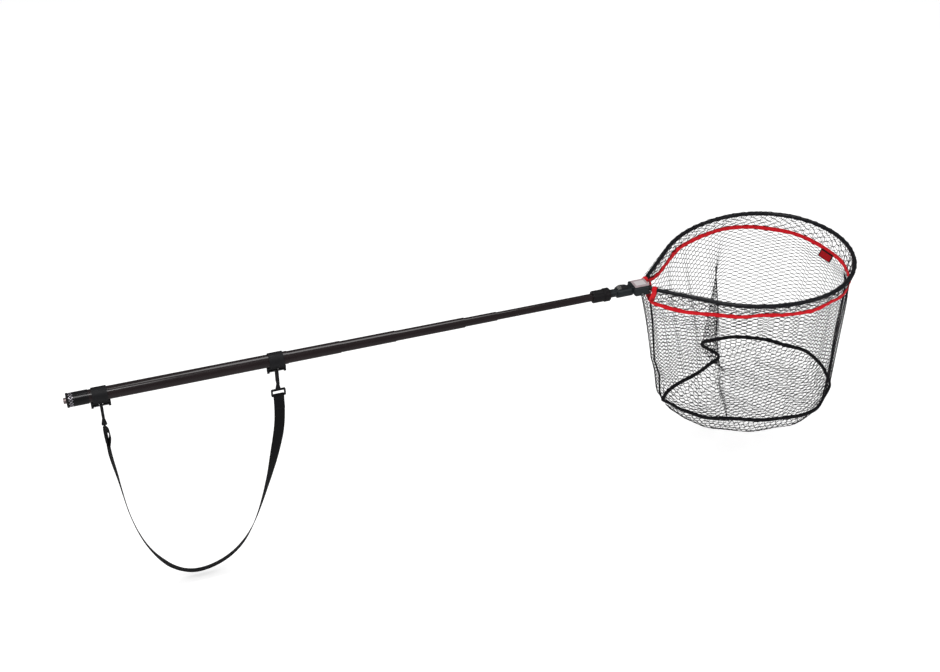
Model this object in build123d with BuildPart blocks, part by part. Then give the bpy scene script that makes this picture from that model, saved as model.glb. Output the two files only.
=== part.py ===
from build123d import *
import os
from math import cos, radians, sin, tan

# A telescopic landing net: a six-section carbon pole, a folding head joint with a sprung latch,
# an oval hoop with a deep mesh bag, and a shoulder strap that snaps onto two bands on the pole.
# The pole lies along X with its butt at -X. Z is up and the bag and the strap hang down.
# The origin is on the pole's axis, where a hand grips the butt section between the two bands.

# ---------------------------------------------------------------- driving dimensions (mm)
# pole
butt_od = 30.0
slide_gap = 0.2
section_steps = [2.0, 2.0, 2.0, 2.8, 2.4]
tip_wall = 1.0
butt_rear = -262.0
butt_mouth = 223.0
shown = [123.0, 131.0, 168.0, 80.0, 244.0]
mouth_step = 10.0
rear_room = 16.0
rear_stagger = 4.0

# butt fittings
sleeve_od = butt_od + 2.0
sleeve_front = -220.0
ring_od = butt_od + 1.6
ring_length = 9.0
ring_marks = 14
cap_od = butt_od + 3.0
cap_rim = 5.0
plug_length = 14.0
stud_od = 13.0
stud_length = 6.0
fit_gap = 0.15

# tip fittings
collar_od = 30.0
collar_length = 29.0
tip_ring_od = 33.0
tip_ring_length = 16.0
neck_od = 19.6
neck_length = 18.0
spigot_length = 36.0

# head joint
housing_od = 27.0
housing_length = 39.0
axis_height = 13.5
knuckle_radius = 3.4
knuckle_gap = 0.3
centre_knuckle = 13.0
pin_od = 3.2
pin_gap = 0.1
flat_height = 11.2
bolt_od = 8.0
bolt_height = -1.0
bolt_setback = 0.5
latch_travel = 6.0
bolt_length = 26.0
bore_gap = 0.2
end_wall = 2.0
slider_width = 15.0
slider_length = 26.0
slider_setback = 1.5
slider_rise = 5.2
stem_width = 4.0
stem_length = 6.0
spring_radius = 3.1
spring_wire = 0.7
spring_turns = 6

# yoke that carries the hoop
yoke_length = 41.0
yoke_width = 41.0
yoke_bottom = -10.5
yoke_shoulder = 5.0
clamp_slit = 1.5
plate_thickness = 1.5
plate_margin = 0.6
bolt_place = 22.0
bolt_drop = 10.0
clamp_bolt_od = 3.0
clamp_head_od = 5.0
clamp_head_depth = 3.0

# hoop
hoop_od = 9.5
hoop_wall = 1.2
hoop_height = 5.0
hoop_rise = 2.3
arm_offset = 9.5
arm_start = 13.0
arm_lead = 10.0
arm_bend = 25.0
arm_angle = 44.0
side_radius = 290.0
hoop_half_width = 211.0
side_straight = 8.0

# net bag and its tapes
mesh_wall = 2.0
cloth_gap = 0.3
bag_depth = 366.0
bag_side_taper = 26.0
bag_near_set = 12.0
bag_near_shift = 50.0
bag_near_spread = 16.0
bag_end_shift = 20.0
belly_inset = [24.0, 78.0]
belly_depth = 52.0
tape_drop = 27.0
tape_height = 10.0
tape_thickness = 1.2
binding_height = 8.0
binding_width = 9.0
arm_loop_reach = 30.0
label_length = 42.0
label_height = 17.0
label_thickness = 1.0
label_turn = 12.0

# strap bands and hooks
band_half_span = 196.0
band_od = butt_od + 5.0
band_length = 33.0
foot_length = 43.0
foot_width = 17.0
foot_depth = 2.5
bar_od = 4.4
bar_drop = 12.4
lug_thickness = 5.0
lug_reach = 2.2
hook_thickness = 6.0
hook_rod = 4.0
hook_eye = 5.0
hook_slot = 36.0
hook_clearance = 0.3
gate_gap = 0.3
gate_pivot_rise = 4.0
gate_pin_od = 2.0
swivel_peg_od = 4.4
swivel_head_od = 7.0
swivel_gap = 0.25
peg_length = 6.0
peg_head_height = 3.0
cone_height = 14.0
cone_top = 3.6
cone_base = 6.4
loop_width = 34.0
loop_height = 19.0
loop_rod = 4.0
strap_width = 25.0
strap_thickness = 1.8
glide_height = 20.0
glide_width = 32.0
glide_thickness = 3.5
glide_slot = 4.0

os.makedirs("parts", exist_ok=True)

# ---------------------------------------------------------------- derived places
section_od = [butt_od]
for step in section_steps:
    section_od.append(section_od[-1] - step)
section_bore = [od + 2 * slide_gap for od in section_od[1:]] + [section_od[-1] - 2 * tip_wall]
section_mouth = [butt_mouth]
for length in shown:
    section_mouth.append(section_mouth[-1] + length)
tip_x = section_mouth[-1]
ring_x = tip_x + collar_length
neck_x = ring_x + tip_ring_length
housing_x = neck_x + neck_length
joint_x = housing_x + housing_length
yoke_end = joint_x + yoke_length
hoop_radius = hoop_od / 2
arm_x = joint_x + arm_start
arm_tan = tan(radians(arm_angle))
bend_x = arm_x + arm_lead
exit_x = bend_x + arm_bend * sin(radians(arm_angle))
exit_y = arm_offset + arm_bend * (1 - cos(radians(arm_angle)))
bag_top = hoop_height - hoop_radius - cloth_gap
# The hoop's own plane climbs away from the yoke. Distances along it are kept as X.
climb = Vector(cos(radians(hoop_rise)), 0, sin(radians(hoop_rise)))
hoop_plane = Plane(
    origin=Vector(exit_x, 0, hoop_height) - climb * exit_x,
    x_dir=climb,
    z_dir=(-climb.Z, 0, climb.X),
)
bar_z = -band_od / 2 - bar_drop
hook_top = bar_z + bar_od / 2 + hook_clearance
hook_bottom = hook_top - hook_slot
peg_top = hook_bottom - hook_rod
cone_z = peg_top - 2 * swivel_gap
loop_top = cone_z - cone_height
loop_bottom = loop_top - loop_height


def save(part, name):
    """Label a finished piece and write it as its own file."""
    part.label = name
    export_step(part, f"parts/{name}.step")


def raised(part):
    """A piece drawn level and then tilted with the hoop, about the place where its arms leave the yoke."""
    return part.rotate(Axis((exit_x, 0, hoop_height), (0, -1, 0)), hoop_rise)


def arm_plane(side):
    """Plane across the end of one of the hoop's arms, inside the yoke."""
    return Plane(origin=hoop_plane.from_local_coords((arm_x, side * arm_offset, 0)), z_dir=climb)


def tube_along_x(start, length, outer, bore):
    """A plain round tube along the pole's axis, from its rear face and its two diameters."""
    with BuildPart() as tube:
        with BuildSketch(Plane.YZ.offset(start)):
            Circle(outer / 2)
            Circle(bore / 2, mode=Mode.SUBTRACT)
        extrude(amount=length)
    return tube.part


def oval_corners(near_x, near_half, half_width, radius, straight):
    """Key points of the net's plan outline, for the half with positive Y."""
    rise = radius * (1 - cos(radians(arm_angle)))
    side_y = half_width - rise
    side_x = near_x + (side_y - near_half) / arm_tan
    crown_x = side_x + radius * sin(radians(arm_angle))
    return side_x, side_y, crown_x, crown_x + straight


def oval_face(height, near_x, near_half, half_width, radius, straight):
    """Closed plan outline: short near edge, two splayed runs, two side arcs and a round far end."""
    side_x, side_y, crown_x, end_x = oval_corners(near_x, near_half, half_width, radius, straight)
    with BuildSketch(Plane.XY.offset(height)) as outline:
        with BuildLine():
            Line((near_x, -near_half), (near_x, near_half))
            Line((near_x, near_half), (side_x, side_y))
            right_arc = TangentArc((side_x, side_y), (crown_x, half_width), tangent=(1, arm_tan))
            Line(right_arc @ 1, (end_x, half_width))
            ThreePointArc((end_x, half_width), (end_x + half_width, 0), (end_x, -half_width))
            Line((end_x, -half_width), (crown_x, -half_width))
            TangentArc((crown_x, -half_width), (side_x, -side_y), tangent=(-1, 0))
            Line((side_x, -side_y), (near_x, -near_half))
        make_face()
    return outline.sketch


def bag_sizes(share, grow=0.0):
    """Outline sizes of the bag's wall at a share of its depth, grown outward by a distance."""
    rim_near = yoke_end + bag_near_set
    rim_half = exit_y + (rim_near - exit_x) * arm_tan
    near_x = rim_near + bag_near_shift * share - grow
    near_half = rim_half + bag_near_spread * share + 0.42 * grow
    half_width = hoop_half_width - bag_side_taper * share + grow
    radius = side_radius - bag_side_taper * share + grow
    crown_x = oval_corners(near_x, near_half, half_width, radius, 0)[2]
    straight = hoop_end_x + bag_end_shift * share - crown_x
    return near_x, near_half, half_width, radius, straight


def bag_band(top, bottom, inside, outside):
    """A closed band that follows the bag's wall between two heights and two distances from it."""
    shares = [(bag_top - z) / bag_depth for z in (top, bottom)]
    with BuildPart() as band:
        for z, share in zip((top, bottom), shares):
            add(oval_face(z, *bag_sizes(share, outside)))
        loft(ruled=True)
        for z, share in zip((top, bottom), shares):
            add(oval_face(z, *bag_sizes(share, inside)))
        loft(ruled=True, mode=Mode.SUBTRACT)
    return band.part


hoop_side_x, hoop_side_y, hoop_crown_x, hoop_end_x = oval_corners(
    exit_x, exit_y, hoop_half_width, side_radius, side_straight
)

# ---------------------------------------------------------------- pole
# Each section runs inside the one before it. Their rear ends are staggered, and with the pole
# shut each mouth stands out of the one before by mouth_step.
cap_face = butt_rear + plug_length
section_rear = [butt_rear]
for index, mouth in enumerate(section_mouth[1:], start=1):
    shut_mouth = butt_mouth + mouth_step * index
    shut_rear = cap_face + rear_room + rear_stagger * index
    section_rear.append(mouth - (shut_mouth - shut_rear))

section_names = [
    "butt_section",
    "second_section",
    "third_section",
    "fourth_section",
    "fifth_section",
    "tip_section",
]
for index, name in enumerate(section_names):
    rear = section_rear[index]
    section = tube_along_x(rear, section_mouth[index] - rear, section_od[index], section_bore[index])
    save(section, name)

# The butt sleeve, its marked ring and the screw-in cap with its end stud.
ring_front = butt_rear + ring_length
save(tube_along_x(ring_front, sleeve_front - ring_front, sleeve_od, butt_od), "butt_sleeve")

with BuildPart() as butt_ring:
    with BuildSketch(Plane.YZ.offset(butt_rear)):
        Circle(ring_od / 2)
        Circle(butt_od / 2, mode=Mode.SUBTRACT)
    extrude(amount=ring_length)
    # A row of shallow diamond notches round the ring.
    notch = ring_length * 0.55
    for mark in range(ring_marks):
        turn = 360 / ring_marks * mark
        place = Plane.XY.rotated((turn, 0, 0)).offset(ring_od / 2 - 0.3)
        with BuildSketch(place):
            with Locations((butt_rear + ring_length / 2, 0)):
                Rectangle(notch * 0.7, notch * 0.7, rotation=45)
        extrude(amount=2, mode=Mode.SUBTRACT)
save(butt_ring.part, "butt_ring")

with BuildPart() as butt_cap:
    with BuildSketch(Plane.YZ.offset(butt_rear - cap_rim)):
        Circle(cap_od / 2)
    extrude(amount=cap_rim)
    fillet(butt_cap.faces().sort_by(Axis.X)[0].edges(), 1.2)
    with BuildSketch(Plane.YZ.offset(butt_rear)):
        Circle(section_bore[0] / 2 - fit_gap)
    extrude(amount=plug_length)
    with BuildSketch(Plane.YZ.offset(butt_rear - cap_rim)):
        Circle(stud_od / 2 - 2.5)
    extrude(amount=cap_rim + plug_length, mode=Mode.SUBTRACT)
save(butt_cap.part, "butt_cap")

with BuildPart() as butt_stud:
    with BuildSketch(Plane.YZ.offset(butt_rear - cap_rim - stud_length)):
        Circle(stud_od / 2)
    extrude(amount=stud_length)
    chamfer(butt_stud.faces().sort_by(Axis.X)[0].edges(), 0.8)
    with BuildSketch(Plane.YZ.offset(butt_rear - cap_rim)):
        Circle(stud_od / 2 - 2.5 - fit_gap)
    extrude(amount=cap_rim + plug_length - 3)
    # Coin slot across the end of the stud.
    with BuildSketch(Plane.YZ.offset(butt_rear - cap_rim - stud_length)):
        Rectangle(1.6, stud_od)
    extrude(amount=1.6, mode=Mode.SUBTRACT)
save(butt_stud.part, "butt_stud")

# ---------------------------------------------------------------- tip fittings
with BuildPart() as tip_collar:
    with BuildSketch(Plane.YZ.offset(tip_x)):
        Circle(collar_od / 2)
        Circle(neck_od / 2 + fit_gap, mode=Mode.SUBTRACT)
    extrude(amount=collar_length)
    fillet(tip_collar.faces().sort_by(Axis.X)[0].edges().sort_by(SortBy.LENGTH)[-1], 1.5)
save(tip_collar.part, "tip_collar")

with BuildPart() as tip_ring:
    with BuildSketch(Plane.YZ.offset(ring_x)):
        Circle(tip_ring_od / 2)
        Circle(neck_od / 2 + fit_gap, mode=Mode.SUBTRACT)
    extrude(amount=tip_ring_length)
    chamfer(tip_ring.faces().sort_by(Axis.X)[-1].edges().sort_by(SortBy.LENGTH)[-1], 3.0)
    fillet(tip_ring.faces().sort_by(Axis.X)[0].edges().sort_by(SortBy.LENGTH)[-1], 1.0)
save(tip_ring.part, "tip_ring")

with BuildPart() as head_spigot:
    # A stepped shaft: a plug glued in the tip section, then the neck on to the joint housing.
    with BuildSketch(Plane.YZ.offset(tip_x - spigot_length)):
        Circle(section_bore[-1] / 2 - fit_gap)
    extrude(amount=spigot_length)
    with BuildSketch(Plane.YZ.offset(tip_x)):
        Circle(neck_od / 2)
    extrude(amount=housing_x - tip_x)
save(head_spigot.part, "head_spigot")

# ---------------------------------------------------------------- head joint
# The latch is drawn back here: its bolt stands just inside the housing, so the head can fold.
# Pushing the slider towards the head by latch_travel locks it.
bolt_front = joint_x - bolt_setback
bolt_rear = bolt_front - bolt_length
spring_rear = housing_x + end_wall
slider_rear = housing_x + slider_setback
stem_x = bolt_rear + stem_length / 2 + 1.0
outer_knuckle = (housing_od - 3.0 - centre_knuckle) / 2 - knuckle_gap
outer_centre = centre_knuckle / 2 + knuckle_gap + outer_knuckle / 2

with BuildPart() as hinge_housing:
    with BuildSketch(Plane.YZ.offset(housing_x)):
        Circle(housing_od / 2)
    extrude(amount=housing_length)
    fillet(hinge_housing.faces().sort_by(Axis.X)[0].edges(), 1.2)
    # The slider runs on a flat along the top.
    with BuildSketch(Plane.XY.offset(flat_height)):
        with Locations((housing_x + housing_length / 2, 0)):
            Rectangle(housing_length + 2, housing_od)
    extrude(amount=housing_od, mode=Mode.SUBTRACT)
    # Centre knuckle of the hinge, blended down onto the flat.
    with BuildSketch(Plane.XZ.offset(-centre_knuckle / 2)):
        with Locations((joint_x, axis_height)):
            Circle(knuckle_radius)
        with BuildLine():
            Polyline(
                (joint_x, axis_height + knuckle_radius),
                (joint_x - 5, flat_height),
                (joint_x - 5, flat_height - 4),
                (joint_x, flat_height - 4),
                close=True,
            )
        make_face()
    extrude(amount=centre_knuckle)
    # Room for the yoke's two outer knuckles.
    for side in (-1, 1):
        with BuildSketch(Plane.XZ.offset(-side * outer_centre)):
            with Locations((joint_x, axis_height)):
                Circle(knuckle_radius + knuckle_gap)
        extrude(amount=outer_knuckle / 2 + knuckle_gap, both=True, mode=Mode.SUBTRACT)
    # Bore for the bolt and its spring, and the slot for the slider's stem.
    with BuildSketch(Plane.YZ.offset(spring_rear)):
        with Locations((0, bolt_height)):
            Circle(bolt_od / 2 + bore_gap)
    extrude(amount=housing_length, mode=Mode.SUBTRACT)
    with BuildSketch(Plane.XY.offset(bolt_height)):
        with Locations((stem_x + latch_travel / 2, 0)):
            Rectangle(stem_length + latch_travel + 2 * knuckle_gap, stem_width + 2 * bore_gap)
    extrude(amount=housing_od, mode=Mode.SUBTRACT)
    # Hole for the hinge pin.
    with BuildSketch(Plane.XZ):
        with Locations((joint_x, axis_height)):
            Circle(pin_od / 2 + pin_gap)
    extrude(amount=housing_od, both=True, mode=Mode.SUBTRACT)
save(hinge_housing.part, "hinge_housing")

with BuildPart() as latch_bolt:
    with BuildSketch(Plane.YZ.offset(bolt_rear)):
        with Locations((0, bolt_height)):
            Circle(bolt_od / 2)
    extrude(amount=bolt_length)
    chamfer(latch_bolt.faces().sort_by(Axis.X)[-1].edges(), 1.5)
    # Pocket for the stem of the thumb slider.
    with BuildSketch(Plane.XY.offset(bolt_height)):
        with Locations((stem_x, 0)):
            Rectangle(stem_length, stem_width)
    extrude(amount=bolt_od, mode=Mode.SUBTRACT)
save(latch_bolt.part, "latch_bolt")

with BuildPart() as latch_slider:
    # Side profile: a ramp that climbs from the rear, then a flat back under the thumb.
    base = flat_height + bore_gap
    with BuildSketch(Plane.XZ.offset(-slider_width / 2)):
        with BuildLine():
            Polyline(
                (slider_rear, base),
                (slider_rear + 1.0, base + 1.8),
                (slider_rear + 7.5, base + slider_rise),
                (slider_rear + slider_length - 6, base + slider_rise * 0.7),
                (slider_rear + slider_length, base + 1.2),
                (slider_rear + slider_length, base),
                close=True,
            )
        make_face()
    extrude(amount=slider_width)
    chamfer(latch_slider.faces().sort_by(Axis.Z)[-1].edges().filter_by(Axis.X, tolerance=20), 1.0)
    # Thumb ribs are cut across the ramp.
    for rib in range(3):
        with BuildSketch(Plane.XZ.offset(-slider_width / 2)):
            with Locations((slider_rear + 2.2 + 2.2 * rib, base + 2.6 + 1.2 * rib)):
                Rectangle(0.9, 1.6, rotation=28)
        extrude(amount=slider_width, mode=Mode.SUBTRACT)
    # The stem reaches down through the housing's slot into the bolt.
    with BuildSketch(Plane.XY.offset(bolt_height)):
        with Locations((stem_x, 0)):
            Rectangle(stem_length, stem_width)
    extrude(amount=base - bolt_height + 0.5)
save(latch_slider.part, "latch_slider")

with BuildPart() as latch_spring:
    spring_length = bolt_rear - spring_rear - spring_wire - 2 * fit_gap
    with BuildLine():
        coil = Helix(
            pitch=spring_length / spring_turns,
            height=spring_length,
            radius=spring_radius,
            center=(spring_rear + spring_wire / 2 + fit_gap, 0, bolt_height),
            direction=(1, 0, 0),
        )
    with BuildSketch(Plane(origin=coil @ 0, z_dir=coil % 0)):
        Circle(spring_wire / 2)
    sweep(is_frenet=True)
save(latch_spring.part, "latch_spring")

pin_length = centre_knuckle + 2 * (knuckle_gap + outer_knuckle)
with BuildPart() as hinge_pin:
    with BuildSketch(Plane.XZ.offset(-pin_length / 2)):
        with Locations((joint_x, axis_height)):
            Circle(pin_od / 2)
    extrude(amount=pin_length)
save(hinge_pin.part, "hinge_pin")

# ---------------------------------------------------------------- yoke
with BuildPart() as yoke_block:
    # Side profile: flat top, square end towards the hoop, lower corner cut back at the joint.
    with BuildSketch(Plane.XZ.offset(-yoke_width / 2)):
        with BuildLine():
            Polyline(
                (joint_x, axis_height),
                (joint_x, yoke_bottom + 7),
                (joint_x + 7, yoke_bottom),
                (yoke_end, yoke_bottom),
                (yoke_end, axis_height),
                close=True,
            )
        make_face()
    extrude(amount=yoke_width)
    long_edges = yoke_block.edges().filter_by(Axis.X)
    fillet(long_edges.group_by(Axis.Z)[-1], yoke_shoulder)
    chamfer(long_edges.group_by(Axis.Z)[0], 3.0)
    # Outer knuckles and the room for the centre one.
    for side in (-1, 1):
        with BuildSketch(Plane.XZ.offset(-side * outer_centre)):
            with Locations((joint_x, axis_height)):
                Circle(knuckle_radius)
        extrude(amount=outer_knuckle / 2, both=True)
    with BuildSketch(Plane.XZ):
        with Locations((joint_x, axis_height)):
            Circle(knuckle_radius + knuckle_gap)
    extrude(amount=centre_knuckle / 2 + knuckle_gap, both=True, mode=Mode.SUBTRACT)
    # Socket for the latch bolt.
    with BuildSketch(Plane.YZ.offset(joint_x)):
        with Locations((0, bolt_height)):
            Circle(bolt_od / 2 + bore_gap)
    extrude(amount=latch_travel - bolt_setback + 1, mode=Mode.SUBTRACT)
    # Sockets for the two bent arm ends.
    for side in (-1, 1):
        with BuildLine(hoop_plane) as socket_path:
            Line((arm_x, side * arm_offset), (bend_x, side * arm_offset))
            bend = JernArc((bend_x, side * arm_offset), (1, 0), arm_bend, side * arm_angle)
            Line(bend @ 1, (bend @ 1) + (bend % 1) * hoop_od * 1.5)
        with BuildSketch(arm_plane(side)):
            Circle(hoop_radius + fit_gap)
        sweep(path=socket_path.line, mode=Mode.SUBTRACT)
    # Holes for the hinge pin and the clamp bolt, and the slit that the bolt draws shut.
    with BuildSketch(Plane.XZ):
        with Locations((joint_x, axis_height)):
            Circle(pin_od / 2 + pin_gap)
        with Locations((joint_x + bolt_place, hoop_height - bolt_drop)):
            Circle(clamp_bolt_od / 2 + fit_gap)
    extrude(amount=yoke_width, both=True, mode=Mode.SUBTRACT)
    for side in (-1, 1):
        with BuildSketch(Plane.XZ.offset(-side * yoke_width / 2)):
            with Locations((joint_x + bolt_place, hoop_height - bolt_drop)):
                Circle(clamp_head_od / 2 + fit_gap)
        extrude(amount=side * clamp_head_depth, mode=Mode.SUBTRACT)
    with BuildSketch(Plane.XZ.offset(-clamp_slit / 2)):
        with BuildLine():
            Polyline(
                (arm_x + 2, yoke_bottom - 1),
                (yoke_end + 1, yoke_bottom - 1),
                (yoke_end + 1, axis_height + 1),
                (arm_x + 2, axis_height + 1),
                close=True,
            )
        make_face()
    extrude(amount=clamp_slit, mode=Mode.SUBTRACT)
save(yoke_block.part, "yoke_block")

with BuildPart() as clamp_bolt:
    # Countersunk flush at both sides: a cap head at -Y and a sleeve nut at +Y.
    with BuildSketch(Plane.XZ.offset(-yoke_width / 2)):
        with Locations((joint_x + bolt_place, hoop_height - bolt_drop)):
            Circle(clamp_bolt_od / 2)
    extrude(amount=yoke_width)
    for side in (-1, 1):
        with BuildSketch(Plane.XZ.offset(-side * yoke_width / 2)):
            with Locations((joint_x + bolt_place, hoop_height - bolt_drop)):
                Circle(clamp_head_od / 2)
        extrude(amount=side * (clamp_head_depth - fit_gap))
        with BuildSketch(Plane.XZ.offset(-side * yoke_width / 2)):
            with Locations((joint_x + bolt_place, hoop_height - bolt_drop)):
                RegularPolygon(clamp_bolt_od / 2 * 0.8, 6)
        extrude(amount=side * 1.6, mode=Mode.SUBTRACT)
save(clamp_bolt.part, "clamp_bolt")

plate_rear = joint_x + knuckle_radius + plate_margin
plate_width = yoke_width - 2 * yoke_shoulder + 1
with BuildPart() as yoke_plate:
    with BuildSketch(Plane.XY.offset(axis_height)):
        with Locations(((plate_rear + yoke_end - plate_margin) / 2, 0)):
            RectangleRounded(yoke_end - plate_margin - plate_rear, plate_width, 1.2)
    extrude(amount=plate_thickness)
    chamfer(yoke_plate.faces().sort_by(Axis.Z)[-1].edges(), 0.4)
    # A shallow bare panel is sunk in the middle of the plate.
    with BuildSketch(Plane.XY.offset(axis_height + plate_thickness)):
        with Locations(((plate_rear + yoke_end - plate_margin) / 2, 0)):
            RectangleRounded((yoke_end - plate_rear) * 0.7, plate_width * 0.6, 2.0)
    extrude(amount=-0.3, mode=Mode.SUBTRACT)
save(yoke_plate.part, "yoke_plate")

# ---------------------------------------------------------------- hoop
with BuildPart() as hoop_frame:
    with BuildLine(hoop_plane) as hoop_path:
        Line((arm_x, arm_offset), (bend_x, arm_offset))
        JernArc((bend_x, arm_offset), (1, 0), arm_bend, arm_angle)
        Line((exit_x, exit_y), (hoop_side_x, hoop_side_y))
        JernArc((hoop_side_x, hoop_side_y), (1, arm_tan), side_radius, -arm_angle)
        Line((hoop_crown_x, hoop_half_width), (hoop_end_x, hoop_half_width))
        JernArc((hoop_end_x, hoop_half_width), (1, 0), hoop_half_width, -180)
        Line((hoop_end_x, -hoop_half_width), (hoop_crown_x, -hoop_half_width))
        JernArc((hoop_crown_x, -hoop_half_width), (-1, 0), side_radius, -arm_angle)
        Line((hoop_side_x, -hoop_side_y), (exit_x, -exit_y))
        JernArc((exit_x, -exit_y), (-1, arm_tan), arm_bend, arm_angle)
        Line((bend_x, -arm_offset), (arm_x, -arm_offset))
    for radius, mode in ((hoop_radius, Mode.ADD), (hoop_radius - hoop_wall, Mode.SUBTRACT)):
        with BuildSketch(arm_plane(1)):
            Circle(radius)
        sweep(path=hoop_path.line, mode=mode)
save(hoop_frame.part, "hoop_frame")

# ---------------------------------------------------------------- net bag
bag_floor = bag_top - bag_depth
half_mesh = mesh_wall / 2
save(raised(bag_band(bag_top, bag_floor, -half_mesh, half_mesh)), "net_wall")

with BuildPart() as net_floor:
    # A dished floor under the wall: the same three outlines, then the dish raised by one wall.
    for lift, mode in ((0, Mode.ADD), (mesh_wall, Mode.SUBTRACT)):
        rim = bag_floor - cloth_gap + lift
        levels = [(0, half_mesh), (0.7 * belly_depth, -belly_inset[0]), (belly_depth, -belly_inset[1])]
        for drop, grow in levels:
            add(oval_face(rim - drop, *bag_sizes(1, grow)))
        loft(ruled=True, mode=mode)
save(raised(net_floor.part), "net_floor")

tape_inside = half_mesh + cloth_gap
tape_outside = tape_inside + tape_thickness
tape_top = hoop_height - tape_drop
save(raised(bag_band(tape_top, tape_top - tape_height, tape_inside, tape_outside)), "rim_tape")

binding_top = bag_floor + binding_height - half_mesh
save(raised(bag_band(binding_top, bag_floor - half_mesh, tape_inside, tape_outside)), "floor_binding")

with BuildPart() as side_binding:
    # One flat strip down the seam of the wall that faces the handle.
    for z in (tape_top - tape_height - cloth_gap, binding_top + cloth_gap):
        seam_x = bag_sizes((bag_top - z) / bag_depth)[0]
        with BuildSketch(Plane.XY.offset(z)):
            with Locations((seam_x - (tape_inside + tape_outside) / 2, 0)):
                Rectangle(tape_thickness, binding_width)
    loft(ruled=True)
save(raised(side_binding.part), "side_binding")

# Two tape loops carry the rim tape from the hoop's arms, close to the yoke.
arm_direction = [Vector(cos(radians(arm_angle)), side * sin(radians(arm_angle)), 0) for side in (-1, 1)]
with BuildPart() as arm_loops:
    for side, along in zip((-1, 1), arm_direction):
        centre = Vector(exit_x, side * exit_y, hoop_height) + along * arm_loop_reach
        across = Vector(-along.Y, along.X, 0)
        place = Plane(origin=centre, x_dir=across, z_dir=along)
        leg = hoop_height - tape_top
        with BuildSketch(place):
            inner = hoop_radius + cloth_gap
            for radius, mode in ((inner + tape_thickness, Mode.ADD), (inner, Mode.SUBTRACT)):
                Circle(radius, mode=mode)
                with Locations((0, -leg / 2)):
                    Rectangle(2 * radius, leg, mode=mode)
        extrude(amount=tape_height / 2, both=True)
save(raised(arm_loops.part), "arm_loops")

with BuildPart() as label_tab:
    # A folded tab that hangs inside the far wall, under the rim tape.
    label_share = (bag_top - tape_top + label_height) / bag_depth
    label_bow = (label_length / 2) ** 2 / (2 * bag_sizes(label_share)[2])
    label_reach = bag_sizes(label_share, -half_mesh - cloth_gap - label_bow - label_thickness / 2)[2]
    label_x = hoop_end_x + bag_end_shift * label_share
    spot = Vector(cos(radians(label_turn)), sin(radians(label_turn)), 0)
    centre = Vector(label_x, 0, tape_top - label_height) + spot * label_reach
    with BuildSketch(Plane(origin=centre, x_dir=(-spot.Y, spot.X, 0), z_dir=(0, 0, 1))):
        Rectangle(label_length, label_thickness)
    extrude(amount=label_height)
save(raised(label_tab.part), "label_tab")

# ---------------------------------------------------------------- bands, feet and hooks
hook_outer = hook_eye + hook_rod
gate_y = hook_eye + hook_rod / 2
gate_pivot_z = hook_bottom + gate_pivot_rise
nose_z = bar_z - bar_od / 2 - hook_clearance
tang = hook_thickness / 4

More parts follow.
